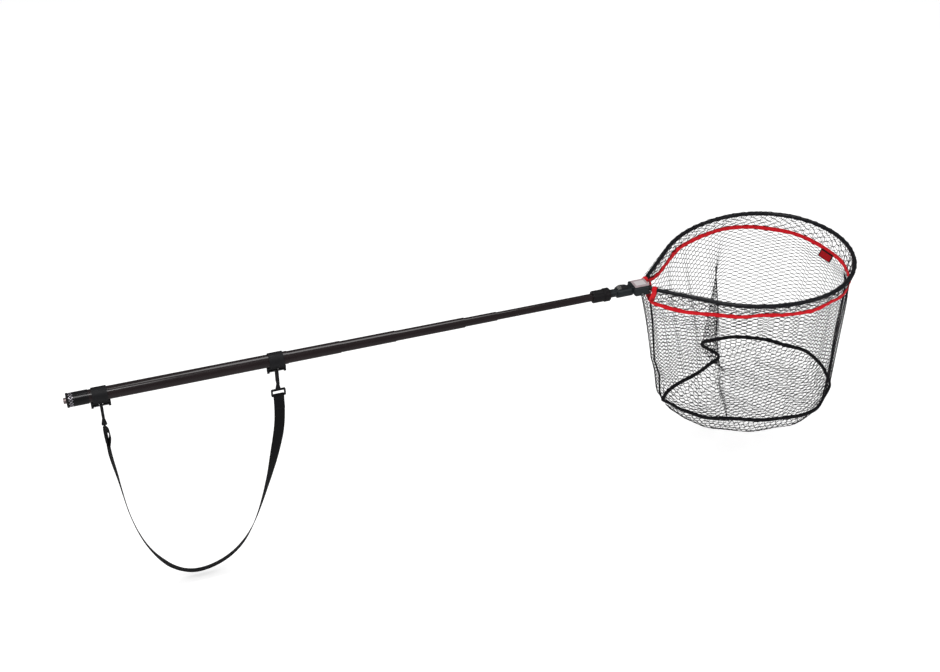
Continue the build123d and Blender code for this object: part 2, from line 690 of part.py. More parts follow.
for end, side, loop_turn in (("front", 1, 0), ("rear", -1, 90)):
    place_x = side * band_half_span
    save(tube_along_x(place_x - band_length / 2, band_length, band_od, butt_od), f"{end}_band")

    with BuildPart() as strap_foot:
        plate_bottom = -band_od / 2 - foot_depth
        with BuildSketch(Plane.XY.offset(plate_bottom)):
            with Locations((place_x, 0)):
                RectangleRounded(foot_length, foot_width, 3.0)
        extrude(amount=foot_depth + 3)
        for lug in (-1, 1):
            lug_face = place_x + lug * (foot_length / 2 - lug_thickness / 2)
            with BuildSketch(Plane.YZ.offset(lug_face)):
                with Locations((0, bar_z)):
                    Circle(bar_od / 2 + lug_reach)
                with Locations((0, (bar_z + plate_bottom) / 2)):
                    Rectangle(bar_od + 2 * lug_reach, plate_bottom - bar_z)
            extrude(amount=lug_thickness / 2, both=True)
        with BuildSketch(Plane.YZ.offset(place_x)):
            Circle(band_od / 2)
            with Locations((0, bar_z)):
                Circle(bar_od / 2)
        extrude(amount=foot_length, both=True, mode=Mode.SUBTRACT)
    save(strap_foot.part, f"{end}_strap_foot")

    with BuildPart() as strap_bar:
        with BuildSketch(Plane.YZ.offset(place_x - foot_length / 2)):
            with Locations((0, bar_z)):
                Circle(bar_od / 2)
        extrude(amount=foot_length)
    save(strap_bar.part, f"{end}_strap_bar")

    with BuildPart() as snap_hook:
        with BuildSketch(Plane.YZ.offset(place_x - hook_thickness / 2)):
            # Outer shape: a round top, straight sides, tapering to the swivel peg.
            with Locations((0, hook_top - hook_eye)):
                Circle(hook_outer)
            with BuildLine():
                Polyline(
                    (-hook_outer, hook_top - hook_eye),
                    (-hook_outer, hook_bottom),
                    (-swivel_head_od / 2, peg_top),
                    (swivel_head_od / 2, peg_top),
                    (hook_outer, hook_bottom),
                    (hook_outer, hook_top - hook_eye),
                    close=True,
                )
            make_face()
            with Locations((0, hook_top - hook_eye)):
                Circle(hook_eye, mode=Mode.SUBTRACT)
            with Locations((0, (hook_top - hook_eye + hook_bottom) / 2)):
                Rectangle(2 * hook_eye, hook_slot - hook_eye, mode=Mode.SUBTRACT)
            with Locations((gate_y, (nose_z + gate_pivot_z) / 2)):
                Rectangle(hook_rod + 0.02, nose_z - gate_pivot_z, mode=Mode.SUBTRACT)
        extrude(amount=hook_thickness)
        # Slot for the gate's tang, its pin hole and the peg that turns in the swivel.
        with BuildSketch(Plane.YZ.offset(place_x)):
            with Locations((gate_y, gate_pivot_z)):
                Circle(hook_rod / 2 + gate_gap)
        extrude(amount=tang + gate_gap, both=True, mode=Mode.SUBTRACT)
        with BuildSketch(Plane.YZ.offset(place_x)):
            with Locations((gate_y, gate_pivot_z)):
                Circle(hook_rod / 2)
        extrude(amount=hook_thickness / 2, both=True)
        with BuildSketch(Plane.YZ.offset(place_x)):
            with Locations((gate_y, gate_pivot_z)):
                Circle(hook_rod / 2 + gate_gap)
        extrude(amount=tang + gate_gap, both=True, mode=Mode.SUBTRACT)
        with BuildSketch(Plane.YZ.offset(place_x)):
            with Locations((gate_y, gate_pivot_z)):
                Circle(gate_pin_od / 2)
        extrude(amount=hook_thickness / 2, both=True)
        with BuildSketch(Plane.XY.offset(peg_top)):
            with Locations((place_x, 0)):
                Circle(swivel_peg_od / 2)
        extrude(amount=-peg_length)
        with BuildSketch(Plane.XY.offset(peg_top - peg_length)):
            with Locations((place_x, 0)):
                Circle(swivel_head_od / 2)
        extrude(amount=-peg_head_height)
    save(snap_hook.part, f"{end}_snap_hook")

    with BuildPart() as hook_gate:
        # A straight bar from the nose down to a narrow tang that turns on the hook's pin.
        shoulder_z = gate_pivot_z + hook_rod / 2 + gate_gap
        gate_top = nose_z - gate_gap
        with BuildSketch(Plane.YZ.offset(place_x - hook_thickness / 2)):
            with Locations((gate_y, (gate_top + shoulder_z) / 2)):
                Rectangle(hook_rod - 2 * gate_gap, gate_top - shoulder_z)
        extrude(amount=hook_thickness)
        with BuildSketch(Plane.YZ.offset(place_x)):
            with Locations((gate_y, (shoulder_z + gate_pivot_z) / 2)):
                Rectangle(hook_rod - 2 * gate_gap, shoulder_z - gate_pivot_z)
            with Locations((gate_y, gate_pivot_z)):
                Circle(hook_rod / 2 - gate_gap)
        extrude(amount=tang, both=True)
        with BuildSketch(Plane.YZ.offset(place_x)):
            with Locations((gate_y, gate_pivot_z)):
                Circle(gate_pin_od / 2 + pin_gap)
        extrude(amount=hook_thickness, both=True, mode=Mode.SUBTRACT)
    save(hook_gate.part, f"{end}_hook_gate")

    with BuildPart() as swivel_loop:
        # A hollow cone that traps the hook's peg, with a flat rectangular ring for the webbing.
        with BuildSketch(Plane.XY.offset(loop_top)):
            with Locations((place_x, 0)):
                Circle(cone_base)
        with BuildSketch(Plane.XY.offset(cone_z)):
            with Locations((place_x, 0)):
                Circle(cone_top)
        loft()
        ring_plane = Plane(
            origin=(place_x, 0, (loop_top + loop_bottom) / 2),
            x_dir=(1, 0, 0) if loop_turn == 0 else (0, 1, 0),
            z_dir=(0, -1, 0) if loop_turn == 0 else (1, 0, 0),
        )
        with BuildSketch(ring_plane):
            RectangleRounded(loop_width, loop_height, 3.0)
        extrude(amount=loop_rod / 2, both=True)
        with BuildSketch(ring_plane):
            RectangleRounded(loop_width - 2 * loop_rod, loop_height - 2 * loop_rod, 1.0)
        extrude(amount=loop_rod, both=True, mode=Mode.SUBTRACT)
        peg_room = peg_length + 2 * swivel_gap
        with BuildSketch(Plane.XY.offset(cone_z)):
            with Locations((place_x, 0)):
                Circle(swivel_peg_od / 2 + swivel_gap)
        extrude(amount=-peg_room, mode=Mode.SUBTRACT)
        with BuildSketch(Plane.XY.offset(peg_top - peg_length + swivel_gap)):
            with Locations((place_x, 0)):
                Circle(swivel_head_od / 2 + swivel_gap)
        extrude(amount=-peg_head_height - 2 * swivel_gap, mode=Mode.SUBTRACT)
    save(swivel_loop.part, f"{end}_swivel_loop")

# ---------------------------------------------------------------- shoulder strap
strap_points = [
    (band_half_span, loop_bottom),
    (band_half_span, -142),
    (190, -197),
    (176, -256),
    (162, -311),
    (145, -365),
    (127, -418),
    (106, -468),
    (79, -512),
    (42, -546),
    (-4, -566),
    (-52, -568),
    (-94, -542),
    (-126, -500),
    (-149, -452),
    (-165, -399),
    (-176, -343),
    (-182, -287),
    (-187, -231),
    (-193, -186),
    (-band_half_span, -145),
    (-band_half_span, loop_bottom),
]
route = [Vector(x, 0, z) for x, z in strap_points]
strap_radii = []
for before, here, after in zip(route, route[1:], route[2:]):
    turn = (here - before).get_angle(after - here)
    shorter = min((here - before).length, (after - here).length)
    strap_radii.append(0.45 * shorter / tan(radians(turn / 2)))
print("strap radii", [round(radius) for radius in strap_radii])

with BuildPart() as shoulder_strap:
    with BuildLine() as strap_path:
        FilletPolyline(*route, radius=strap_radii)
    first_run = route[1] - route[0]
    with BuildSketch(Plane(origin=route[0], x_dir=(0, 1, 0), z_dir=first_run)):
        Rectangle(strap_width, strap_thickness)
    sweep(path=strap_path.line)
strap_length = sum(edge.length for edge in strap_path.edges())
print("strap length", round(strap_length, 1))
print("volume share", shoulder_strap.part.volume / (strap_length * strap_width * strap_thickness))
save(shoulder_strap.part, "shoulder_strap")

with BuildPart() as strap_glide:
    # A flat three-bar buckle that lies against the rear run of the webbing.
    glide_x = -band_half_span - strap_thickness / 2 - cloth_gap - glide_thickness
    glide_z = loop_bottom - 4 - glide_height / 2
    with BuildSketch(Plane.YZ.offset(glide_x)):
        with Locations((0, glide_z)):
            RectangleRounded(glide_width, glide_height, 2.5)
        for slot in (-1, 1):
            with Locations((0, glide_z + slot * (glide_height / 4 - 0.5))):
                Rectangle(strap_width + 1, glide_slot, mode=Mode.SUBTRACT)
    extrude(amount=glide_thickness)
save(strap_glide.part, "strap_glide")
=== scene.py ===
import math
import random

import bmesh
import bpy
import numpy as np
from bpy.props import FloatProperty, FloatVectorProperty, IntProperty, PointerProperty
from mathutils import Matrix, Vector


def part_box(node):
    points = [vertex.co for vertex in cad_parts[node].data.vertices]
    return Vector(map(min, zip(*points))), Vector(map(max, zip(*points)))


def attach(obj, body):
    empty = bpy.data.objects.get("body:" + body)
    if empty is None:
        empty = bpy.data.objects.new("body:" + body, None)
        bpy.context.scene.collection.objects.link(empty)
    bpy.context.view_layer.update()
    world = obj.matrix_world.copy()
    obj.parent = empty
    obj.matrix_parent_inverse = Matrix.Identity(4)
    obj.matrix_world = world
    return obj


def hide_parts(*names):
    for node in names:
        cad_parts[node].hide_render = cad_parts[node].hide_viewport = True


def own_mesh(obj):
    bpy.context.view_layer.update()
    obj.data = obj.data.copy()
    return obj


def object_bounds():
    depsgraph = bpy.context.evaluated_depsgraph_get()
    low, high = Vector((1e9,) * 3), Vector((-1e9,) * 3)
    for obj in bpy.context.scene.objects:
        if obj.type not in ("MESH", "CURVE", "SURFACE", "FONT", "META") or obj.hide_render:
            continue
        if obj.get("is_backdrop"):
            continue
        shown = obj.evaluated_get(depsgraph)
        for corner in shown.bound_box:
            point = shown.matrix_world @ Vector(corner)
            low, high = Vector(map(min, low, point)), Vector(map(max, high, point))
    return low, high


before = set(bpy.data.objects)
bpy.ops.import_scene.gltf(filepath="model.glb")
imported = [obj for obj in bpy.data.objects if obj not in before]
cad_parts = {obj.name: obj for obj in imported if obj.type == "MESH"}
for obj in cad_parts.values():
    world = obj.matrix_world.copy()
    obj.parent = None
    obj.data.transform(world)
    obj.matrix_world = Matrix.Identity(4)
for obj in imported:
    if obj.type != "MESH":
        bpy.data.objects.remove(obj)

bl_info = {
    "name": "Landing net",
    "version": (1, 0, 0),
    "blender": (4, 5, 0),
    "location": "3D View > Sidebar > Landing net",
    "description": "Netting, tapes, webbing and finishes of a telescopic landing net",
    "category": "Object",
}

CAD_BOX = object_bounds()

# ------------------------------------------------------------------ places read from the frame
HOOP_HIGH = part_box("hoop_frame")[1]
HOOP_RADIUS = 0.00475
HOOP_RISE = math.radians(2.3)
HALF_WIDTH = HOOP_HIGH.y - HOOP_RADIUS
END_X = HOOP_HIGH.x - HOOP_RADIUS - HALF_WIDTH
FRONT_LOOP_LOW, FRONT_LOOP_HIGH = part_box("front_swivel_loop")
REAR_LOOP_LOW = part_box("rear_swivel_loop")[0]
BAND_X = (FRONT_LOOP_LOW.x + FRONT_LOOP_HIGH.x) / 2
STRAP_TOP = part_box("shoulder_strap")[1].z
BAG_DEPTH = 0.366
TAPE_DROP = 0.032
FLOOR_LOW_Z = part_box("net_floor")[0].z
FLOOR_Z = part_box("floor_binding")[0].z + 0.003

# ------------------------------------------------------------------ the hoop's plan, as it is bent
ARM_ANGLE = math.radians(44)
SIDE_RADIUS = 0.29
ARM_EXIT = Vector((1.1114, 0.0165))
NEAR_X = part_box("yoke_block")[1].x + 0.012
# A spot inside the hoop that the walls face away from.
MIDDLE_X = END_X - 0.08

# The seam that faces the handle, from the hoop down to the floor: x, y and z.
SEAM = [
    (1.124, 0.0, 0.004), (1.118, -0.010, -0.030), (1.127, -0.004, -0.054), (1.140, 0.0, -0.115),
    (1.147, 0.001, -0.170), (1.153, 0.0, -0.226), (1.170, 0.0, -0.275), (1.175, 0.0, -0.335),
    (1.184, 0.0, -0.362),
]

# The floor binding as it hangs, from the handle's seam to the far end, for each side of the bag.
# The far side has one deep fold, where the wall steps inwards.
LOW_FRONT = [
    (1.183, 0.0), (1.204, -0.048), (1.226, -0.071), (1.260, -0.103), (1.312, -0.124), (1.370, -0.147),
    (1.433, -0.163), (1.484, -0.176), (1.535, -0.164), (1.574, -0.133), (1.622, -0.086), (1.646, -0.022),
    (1.652, 0.012),
]
LOW_BACK = [
    (1.183, 0.0), (1.219, 0.036), (1.297, 0.072), (1.365, 0.103), (1.410, 0.128), (1.394, 0.197),
    (1.465, 0.196), (1.513, 0.183), (1.573, 0.158), (1.609, 0.118), (1.641, 0.082), (1.650, 0.045),
    (1.652, 0.012),
]

# The strap's route, from the front loop round to the rear one, in the plane of the pole.
STRAP_POINTS = [
    (0.196, STRAP_TOP), (0.196, -0.142), (0.190, -0.197), (0.176, -0.256), (0.162, -0.311),
    (0.145, -0.365), (0.127, -0.418), (0.106, -0.468), (0.079, -0.512), (0.042, -0.546),
    (-0.004, -0.566), (-0.052, -0.568), (-0.094, -0.542), (-0.126, -0.500), (-0.149, -0.452),
    (-0.165, -0.399), (-0.176, -0.343), (-0.182, -0.287), (-0.187, -0.231), (-0.193, -0.186),
    (-0.196, -0.145), (-0.196, STRAP_TOP),
]
# The webbing's quarter turn: share of the length, and the angle in degrees of its width out of the
# strap's plane.
STRAP_TWIST = [
    (0.0, 0), (0.10, 0), (0.15, 17), (0.20, 38), (0.25, 52), (0.30, 60), (0.35, 63), (0.40, 67),
    (0.50, 66), (0.55, 71), (0.60, 84), (0.65, 80), (0.75, 84), (0.85, 93), (0.90, 100), (0.95, 108),
    (1.0, 103),
]


UP = Vector((0, 0, 1))
# The moulded parts on the strap.
STRAP_PLASTIC = [
    *(f"{end}_{part}" for end in ("front", "rear") for part in ("snap_hook", "hook_gate", "swivel_loop")),
    "strap_glide",
]


# ------------------------------------------------------------------ sizes and colours a user may change
class LandingNetSizes(bpy.types.PropertyGroup):
    cell_width: FloatProperty(
        name="Cell width", description="Distance between two columns of the netting",
        default=0.013, min=0.006, unit="LENGTH")
    cell_height: FloatProperty(
        name="Cell height", description="Distance between two joints in one column",
        default=0.011, min=0.006, unit="LENGTH")
    joint_length: FloatProperty(
        name="Joint length", description="Length of the flat joint between two cells",
        default=0.0066, min=0.001, unit="LENGTH")
    joint_radius: FloatProperty(
        name="Joint radius", description="Half the thickness of a joint",
        default=0.00125, min=0.0002, unit="LENGTH")
    strand_radius: FloatProperty(
        name="Strand radius", description="Half the thickness of a strand",
        default=0.00080, min=0.0002, unit="LENGTH")
    tape_height: FloatProperty(
        name="Tape height", description="Height of the red tape",
        default=0.0115, min=0.002, unit="LENGTH")
    tape_thickness: FloatProperty(
        name="Tape thickness", description="Thickness of the tape where it is folded over the netting",
        default=0.0028, min=0.0004, unit="LENGTH")
    binding_height: FloatProperty(
        name="Binding height", description="Height of the black bindings",
        default=0.0105, min=0.002, unit="LENGTH")
    strap_width: FloatProperty(
        name="Strap width", description="Width of the webbing",
        default=0.025, min=0.005, unit="LENGTH")
    strap_thickness: FloatProperty(
        name="Strap thickness", description="Thickness of the webbing",
        default=0.0018, min=0.0005, unit="LENGTH")
    stitch_pitch: FloatProperty(
        name="Stitch pitch", description="Distance from one stitch to the next",
        default=0.0042, min=0.001, unit="LENGTH")
    lacing_pitch: FloatProperty(
        name="Sleeve pitch", description="Distance along the hoop between two columns of its sleeve",
        default=0.0125, min=0.003, unit="LENGTH")
    seed: IntProperty(
        name="Seed", description="Start value of the netting's small irregularities", default=7)


class LandingNetColours(bpy.types.PropertyGroup):
    tube: FloatVectorProperty(
        name="Tube", description="Lacquered carbon tube", subtype="COLOR", default=(0.012, 0.008, 0.009))
    joint: FloatVectorProperty(
        name="Head joint", description="Paint of the folding joint", subtype="COLOR",
        default=(0.013, 0.017, 0.020))
    tape: FloatVectorProperty(
        name="Tape", description="Red woven tape", subtype="COLOR", default=(0.74, 0.011, 0.020))
    netting: FloatVectorProperty(
        name="Netting", description="Knotted mesh", subtype="COLOR", default=(0.012, 0.011, 0.014))
    webbing: FloatVectorProperty(
        name="Webbing", description="Strap webbing", subtype="COLOR", default=(0.006, 0.006, 0.007))
    plate: FloatVectorProperty(
        name="Plate", description="Brushed plate on the yoke", subtype="COLOR",
        default=(0.55, 0.44, 0.46))


def sizes():
    return bpy.context.scene.landing_net_sizes


def colours():
    return bpy.context.scene.landing_net_colours


# ------------------------------------------------------------------ plan outlines
def smooth_path(points, steps):
    """A smooth line through given points (Catmull-Rom), as many steps to each span."""
    ends = [2 * points[0] - points[1], *points, 2 * points[-1] - points[-2]]
    out = []
    for before, start, end, after in zip(ends, ends[1:], ends[2:], ends[3:]):
        for step in range(steps):
            t = step / steps
            out.append(0.5 * (
                2 * start + (end - before) * t
                + (2 * before - 5 * start + 4 * end - after) * t ** 2
                + (3 * start - before - 3 * end + after) * t ** 3
            ))
    out.append(points[-1])
    return out


def hoop_side(sign):
    """The netting's top edge on one side, from the seam at the yoke to the hoop's far end."""
    bend_steps, end_steps = 24, 40
    half = HALF_WIDTH
    near_half = ARM_EXIT.y + (NEAR_X - ARM_EXIT.x) * math.tan(ARM_ANGLE)
    side_y = half - SIDE_RADIUS * (1 - math.cos(ARM_ANGLE))
    side_x = NEAR_X + (side_y - near_half) / math.tan(ARM_ANGLE)
    crown_x = side_x + SIDE_RADIUS * math.sin(ARM_ANGLE)
    points = [Vector((NEAR_X, 0)), Vector((NEAR_X, near_half))]
    for step in range(bend_steps + 1):
        angle = ARM_ANGLE * (1 - step / bend_steps)
        points.append(Vector((crown_x - SIDE_RADIUS * math.sin(angle),
                              half - SIDE_RADIUS * (1 - math.cos(angle)))))
    for step in range(end_steps + 1):
        angle = math.pi / 2 * (1 - step / end_steps)
        points.append(Vector((END_X + half * math.cos(angle), half * math.sin(angle))))
    return [Vector((p.x, sign * p.y)) for p in points]


class Outline:
    """A closed plan line made of two sides, read by a share of each side's length."""

    def __init__(self, front, back, gathered=0, gather=1.0):
        """The back side's first gathered steps count for more of the turn, as fabric bunched there does."""
        self.sides = []
        for points, steps in ((front, 0), (back, gathered)):
            xy = np.array([tuple(p) for p in points])
            gaps = np.linalg.norm(np.diff(xy, axis=0), axis=1)
            gaps[:steps] *= gather
            self.sides.append((xy, np.concatenate([[0], np.cumsum(gaps)])))

    def at(self, turn):
        """Plan point at a share of the whole turn: 0 at the seam, 0.5 at the far end."""
        turn = turn % 1
        xy, along = self.sides[0 if turn < 0.5 else 1]
        where = (2 * turn if turn < 0.5 else 2 - 2 * turn) * along[-1]
        return Vector((np.interp(where, along, xy[:, 0]), np.interp(where, along, xy[:, 1])))

    def length(self):
        return self.sides[0][1][-1] + self.sides[1][1][-1]


# The fabric is gathered along the first spans of the floor's back side, as far as the fold.
LOW_STEPS, GATHERED_SPANS = 8, 4
TOP = Outline(hoop_side(-1), hoop_side(1))
LOW = Outline(
    smooth_path([Vector(p) for p in LOW_FRONT], LOW_STEPS),
    smooth_path([Vector(p) for p in LOW_BACK], LOW_STEPS),
    gathered=GATHERED_SPANS * LOW_STEPS, gather=1.45,
)
LOW_EDGE = np.array([tuple(LOW.at(t)) for t in np.linspace(0, 1, 400, endpoint=False)])


# ------------------------------------------------------------------ the bag's surface
TAPE_SHARE = (TAPE_DROP - HOOP_RADIUS) / BAG_DEPTH
# Waves round the wall: how many, how deep, and their phase.
PLEATS = [(9, 0.0030, 0.4), (17, 0.0022, 2.1), (31, 0.0013, 4.0)]
# Where the far wall folds inwards, as a place round the bag.
FOLD_TURN = 0.749
# Vertical creases: place round the bag, width as a share of the turn, and depth.
CREASES = [(0.43, 0.014, 0.010), (0.56, 0.009, 0.008), (FOLD_TURN, 0.010, 0.018), (0.07, 0.010, 0.008)]
# The two bunched folds: share of the way from hoop to floor, or along the floor, and width in mm.
WALL_PLEAT = [(0.34, 2), (0.5, 5), (0.7, 10), (0.85, 20), (0.99, 36)]
FLOOR_PLEAT = [(0.0, 26), (0.25, 20), (0.5, 14), (0.75, 8), (1.0, 2)]
FLOOR_FOLD = (Vector((1.408, 0.130)), Vector((1.357, -0.036)))
# Where the fabric bellies out beside the seam: place, width and reach.
BULGES = [(0.972, 0.024, 0.021), (0.035, 0.025, 0.007)]
# Where the tape hangs lower or higher, and further out, than an even drop: place, rise and reach, in mm.
TAPE_SHIFT = [
    (0.0, -13, 0), (0.02, -7, 0), (0.042, -11, 2), (0.07, -15, 2), (0.104, -11, 2), (0.146, -2, 0),
    (0.19, 3, 0), (0.24, 1, 0), (0.28, -2, 0), (0.32, 4, -1), (0.375, -1, 0), (0.396, -3, -2),
    (0.417, -9, -7), (0.438, -14, -9), (0.458, -19, -8), (0.50, -21, -6), (0.56, -20, -4), (0.604, -13, -2),
    (0.646, -10, -2), (0.69, -5, 0), (0.74, 1, 0), (0.792, 5, 0), (0.812, 7, -1), (0.854, 10, -3),
    (0.885, 11, -4), (0.905, 10, -4), (0.93, 3, -2), (0.955, 1, 0), (0.98, 0, 0), (1.0, -13, 0),
]
# Where the label hangs, and where the tape leaves the wall.
LABEL_TURN = 0.526
TAPE_END_TURN = 0.958
# The tape's loose end beside the yoke: x, y and z.
TAPE_TAIL = [(1.144, 0.040, -0.021), (1.137, 0.029, -0.020), (1.127, 0.019, -0.014), (1.119, 0.014, -0.008)]
# Kinks of the sewn rim, one value for each stretch of the turn.
KINKS = [random.Random(11 + place).uniform(-1, 1) for place in range(26)]


def bell(off, width):
    """1 at no distance, fading to nothing a few widths away."""
    return math.exp(-((off / width) ** 2))


def round_wave(count, turn, phase=0.0):
    """So many waves round the bag."""
    return math.sin(2 * math.pi * count * turn + phase)


def hoop_z(x):
    """Height of the hoop's centre line, which climbs away from the yoke."""
    return HOOP_HIGH.z - HOOP_RADIUS - (HOOP_HIGH.x - HOOP_RADIUS - x) * math.tan(HOOP_RISE)


def kink(turn):
    """A stiff tape's small in-and-out steps, straight between its kinks."""
    place = (turn % 1) * len(KINKS)
    low = int(place) % len(KINKS)
    return KINKS[low] + (KINKS[(low + 1) % len(KINKS)] - KINKS[low]) * (place - int(place))


def sag(turn):
    """How far the floor binding dips and rises round the bag."""
    return 0.0035 * round_wave(3, turn, 1.0) + 0.002 * round_wave(8, turn)


def tape_shift(turn, share):
    """Rise and reach that carry the wall to the tape's own line, fading away from the tape."""
    places, rises, reaches = zip(*TAPE_SHIFT)
    weight = share / TAPE_SHARE if share < TAPE_SHARE else bell(share - TAPE_SHARE, 0.14)
    return (0.001 * weight * float(np.interp(turn, places, rises)),
            0.001 * weight * float(np.interp(turn, places, reaches)))


def plan_between(turn, share):
    """Plan place between the hoop's outline and the floor's."""
    return TOP.at(turn).lerp(LOW.at(turn), share ** 0.92)


def wall_point(turn, share):
    """A point on the bag's wall: turn round the bag, and share of the way from hoop to floor."""
    top = TOP.at(turn)
    ahead = TOP.at(turn + 0.004) - TOP.at(turn - 0.004)
    outward = Vector((-ahead.y, ahead.x)).normalized()
    if outward.dot(top - Vector((MIDDLE_X, 0))) < 0:
        outward = -outward
    turn = turn % 1
    plan = plan_between(turn, share)
    rise, reach_out = tape_shift(turn, share)
    # How freely the fabric moves between tape and floor, how near the tape it is, and how gathered.
    free = math.sin(math.pi * min(1, max(0, (share - TAPE_SHARE) / (1 - TAPE_SHARE)))) ** 0.7
    at_tape = bell(share - TAPE_SHARE, 0.05)
    gathered = math.sin(math.pi * min(1, share / TAPE_SHARE)) if share < TAPE_SHARE else 0
    push = free * sum(depth * round_wave(count, turn, phase) for count, depth, phase in PLEATS)
    push += 0.0022 * round_wave(46, turn) * gathered + 0.0026 * kink(turn) * at_tape
    for place, width, depth in CREASES:
        # The far fold only runs deep in the lower part of the wall.
        deep = min(1.0, max(0.0, (share - 0.3) / 0.35)) if place == FOLD_TURN else 1.0
        push -= depth * deep * free * bell(turn - place, width)
    loose = min(1.0, share / 0.10, (1 - share) / 0.07)
    for place, width, reach in BULGES:
        push += reach * loose * bell(turn - place, width)
    plan = plan + outward * (push + reach_out)
    wall_top = hoop_z(top.x) - HOOP_RADIUS
    z = wall_top - share * BAG_DEPTH + (FLOOR_Z + sag(turn) - wall_top + BAG_DEPTH) * share ** 3
    z += 0.0015 * kink(turn + 0.37) * at_tape + rise
    # Beside the handle the wall is drawn onto its seam.
    near = bell(min(turn, 1 - turn), 0.018)
    if near > 0.001:
        xs, ys, zs = zip(*SEAM)
        middle = plan_between(0, share)
        depths = [-value for value in zs]
        plan.x += near * (np.interp(-z, depths, xs) - middle.x)
        plan.y += near * (np.interp(-z, depths, ys) - middle.y)
    return Vector((plan.x, plan.y, z))


def belly_point(plan):
    """A point on the dished floor, from its plan place."""
    inset = float(np.min(np.hypot(LOW_EDGE[:, 0] - plan[0], LOW_EDGE[:, 1] - plan[1])))
    fall = min(1.0, inset / 0.062)
    lean = max(0.7, 1.16 - 20 * (plan[0] - 1.37) ** 2)
    dip = (FLOOR_Z - FLOOR_LOW_Z + 0.012) * (1 - (1 - fall) ** 3) * lean
    ripple = 0.0022 * math.sin(60 * plan[0] + 25 * plan[1]) * fall
    # One crease runs across the floor from the wall's fold, and the fabric bunches towards it.
    start, end = FLOOR_FOLD
    run = end - start
    here = Vector(plan) - start
    along = here.dot(run) / run.length_squared
    side = Vector((-run.y, run.x)).normalized()
    off = here.dot(side)
    strength = max(0.0, 1 - abs(along - 0.35) / 0.75) * min(1.0, inset / 0.006)
    spot = Vector(plan) - side * off * 0.85 * strength * bell(off, 0.026)
    ridge = 0.015 * strength * bell(off, 0.012)
    return Vector((spot.x, spot.y, FLOOR_Z - dip + ripple + ridge))


# ------------------------------------------------------------------ mesh helpers
def new_object(name, mesh, body, material=None, replaces=()):
    """Link a finished mesh as a piece that rides on a body and stands for its CAD nodes."""
    piece = bpy.data.objects.new(name, mesh)
    bpy.context.scene.collection.objects.link(piece)
    if material is not None:
        piece.data.materials.clear()
        piece.data.materials.append(material)
    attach(piece, body)
    if replaces:
        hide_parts(*replaces)
    return piece


def crumple(piece):
    """Give a piece of the bag a mesh of its own."""
    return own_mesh(piece)


def mesh_from(name, verts, faces, uvs=None):
    """A mesh with smooth faces, and one UV pair for each vertex if given."""
    mesh = bpy.data.meshes.new(name)
    mesh.from_pydata([tuple(v) for v in verts], [], faces)
    if uvs is not None:
        layer = mesh.uv_layers.new(name="UVMap")
        for loop in mesh.loops:
            layer.data[loop.index].uv = uvs[loop.vertex_index]
    mesh.polygons.foreach_set("use_smooth", [True] * len(mesh.polygons))
    mesh.validate()
    mesh.update()
    return mesh


def headings(line):
    """Unit direction of travel at each point of a line."""
    last = len(line) - 1
    return [(line[min(i + 1, last)] - line[max(i - 1, 0)]).normalized() for i in range(last + 1)]


def ribbon_section(width, thickness):
    """Across and through places of a flat band with rounded edges, going round once."""
    half, thin = width / 2, thickness / 2
    edge = min(thin, half) * 0.9
    return [
        (-half, 0), (-half + edge * 0.4, -thin * 0.75), (-half + edge, -thin), (-half / 3, -thin),
        (half / 3, -thin), (half - edge, -thin), (half - edge * 0.4, -thin * 0.75),
        (half, 0), (half - edge * 0.4, thin * 0.75), (half - edge, thin), (half / 3, thin),
        (-half / 3, thin), (-half + edge, thin), (-half + edge * 0.4, thin * 0.75),
    ]


def ribbon_mesh(name, centres, across, through, width, thickness, closed=False):
    """A flat band along centres. across and through are unit vectors at each centre."""
    section = ribbon_section(width, thickness)
    count = len(section)
    verts, uvs, faces = [], [], []
    along = 0.0
    for index, centre in enumerate(centres):
        if index:
            along += (centre - centres[index - 1]).length
        for side, out in section:
            verts.append(centre + across[index] * side + through[index] * out)
            uvs.append((along, side))
    rings = len(centres)
    for ring in range(rings if closed else rings - 1):
        nxt = (ring + 1) % rings
        for k in range(count):
            a, b = ring * count + k, ring * count + (k + 1) % count
            c, d = nxt * count + (k + 1) % count, nxt * count + k
            faces.append((a, b, c, d))
    if not closed:
        faces.append(tuple(range(count))[::-1])
        faces.append(tuple((rings - 1) * count + k for k in range(count)))
    mesh = mesh_from(name, verts, faces, uvs)
    face_outwards(mesh)
    return mesh


def face_outwards(mesh):
    """Turn every face of a closed mesh outwards."""
    edit = bmesh.new()
    edit.from_mesh(mesh)
    bmesh.ops.recalc_face_normals(edit, faces=edit.faces)
    edit.to_mesh(mesh)
    edit.free()
    mesh.update()


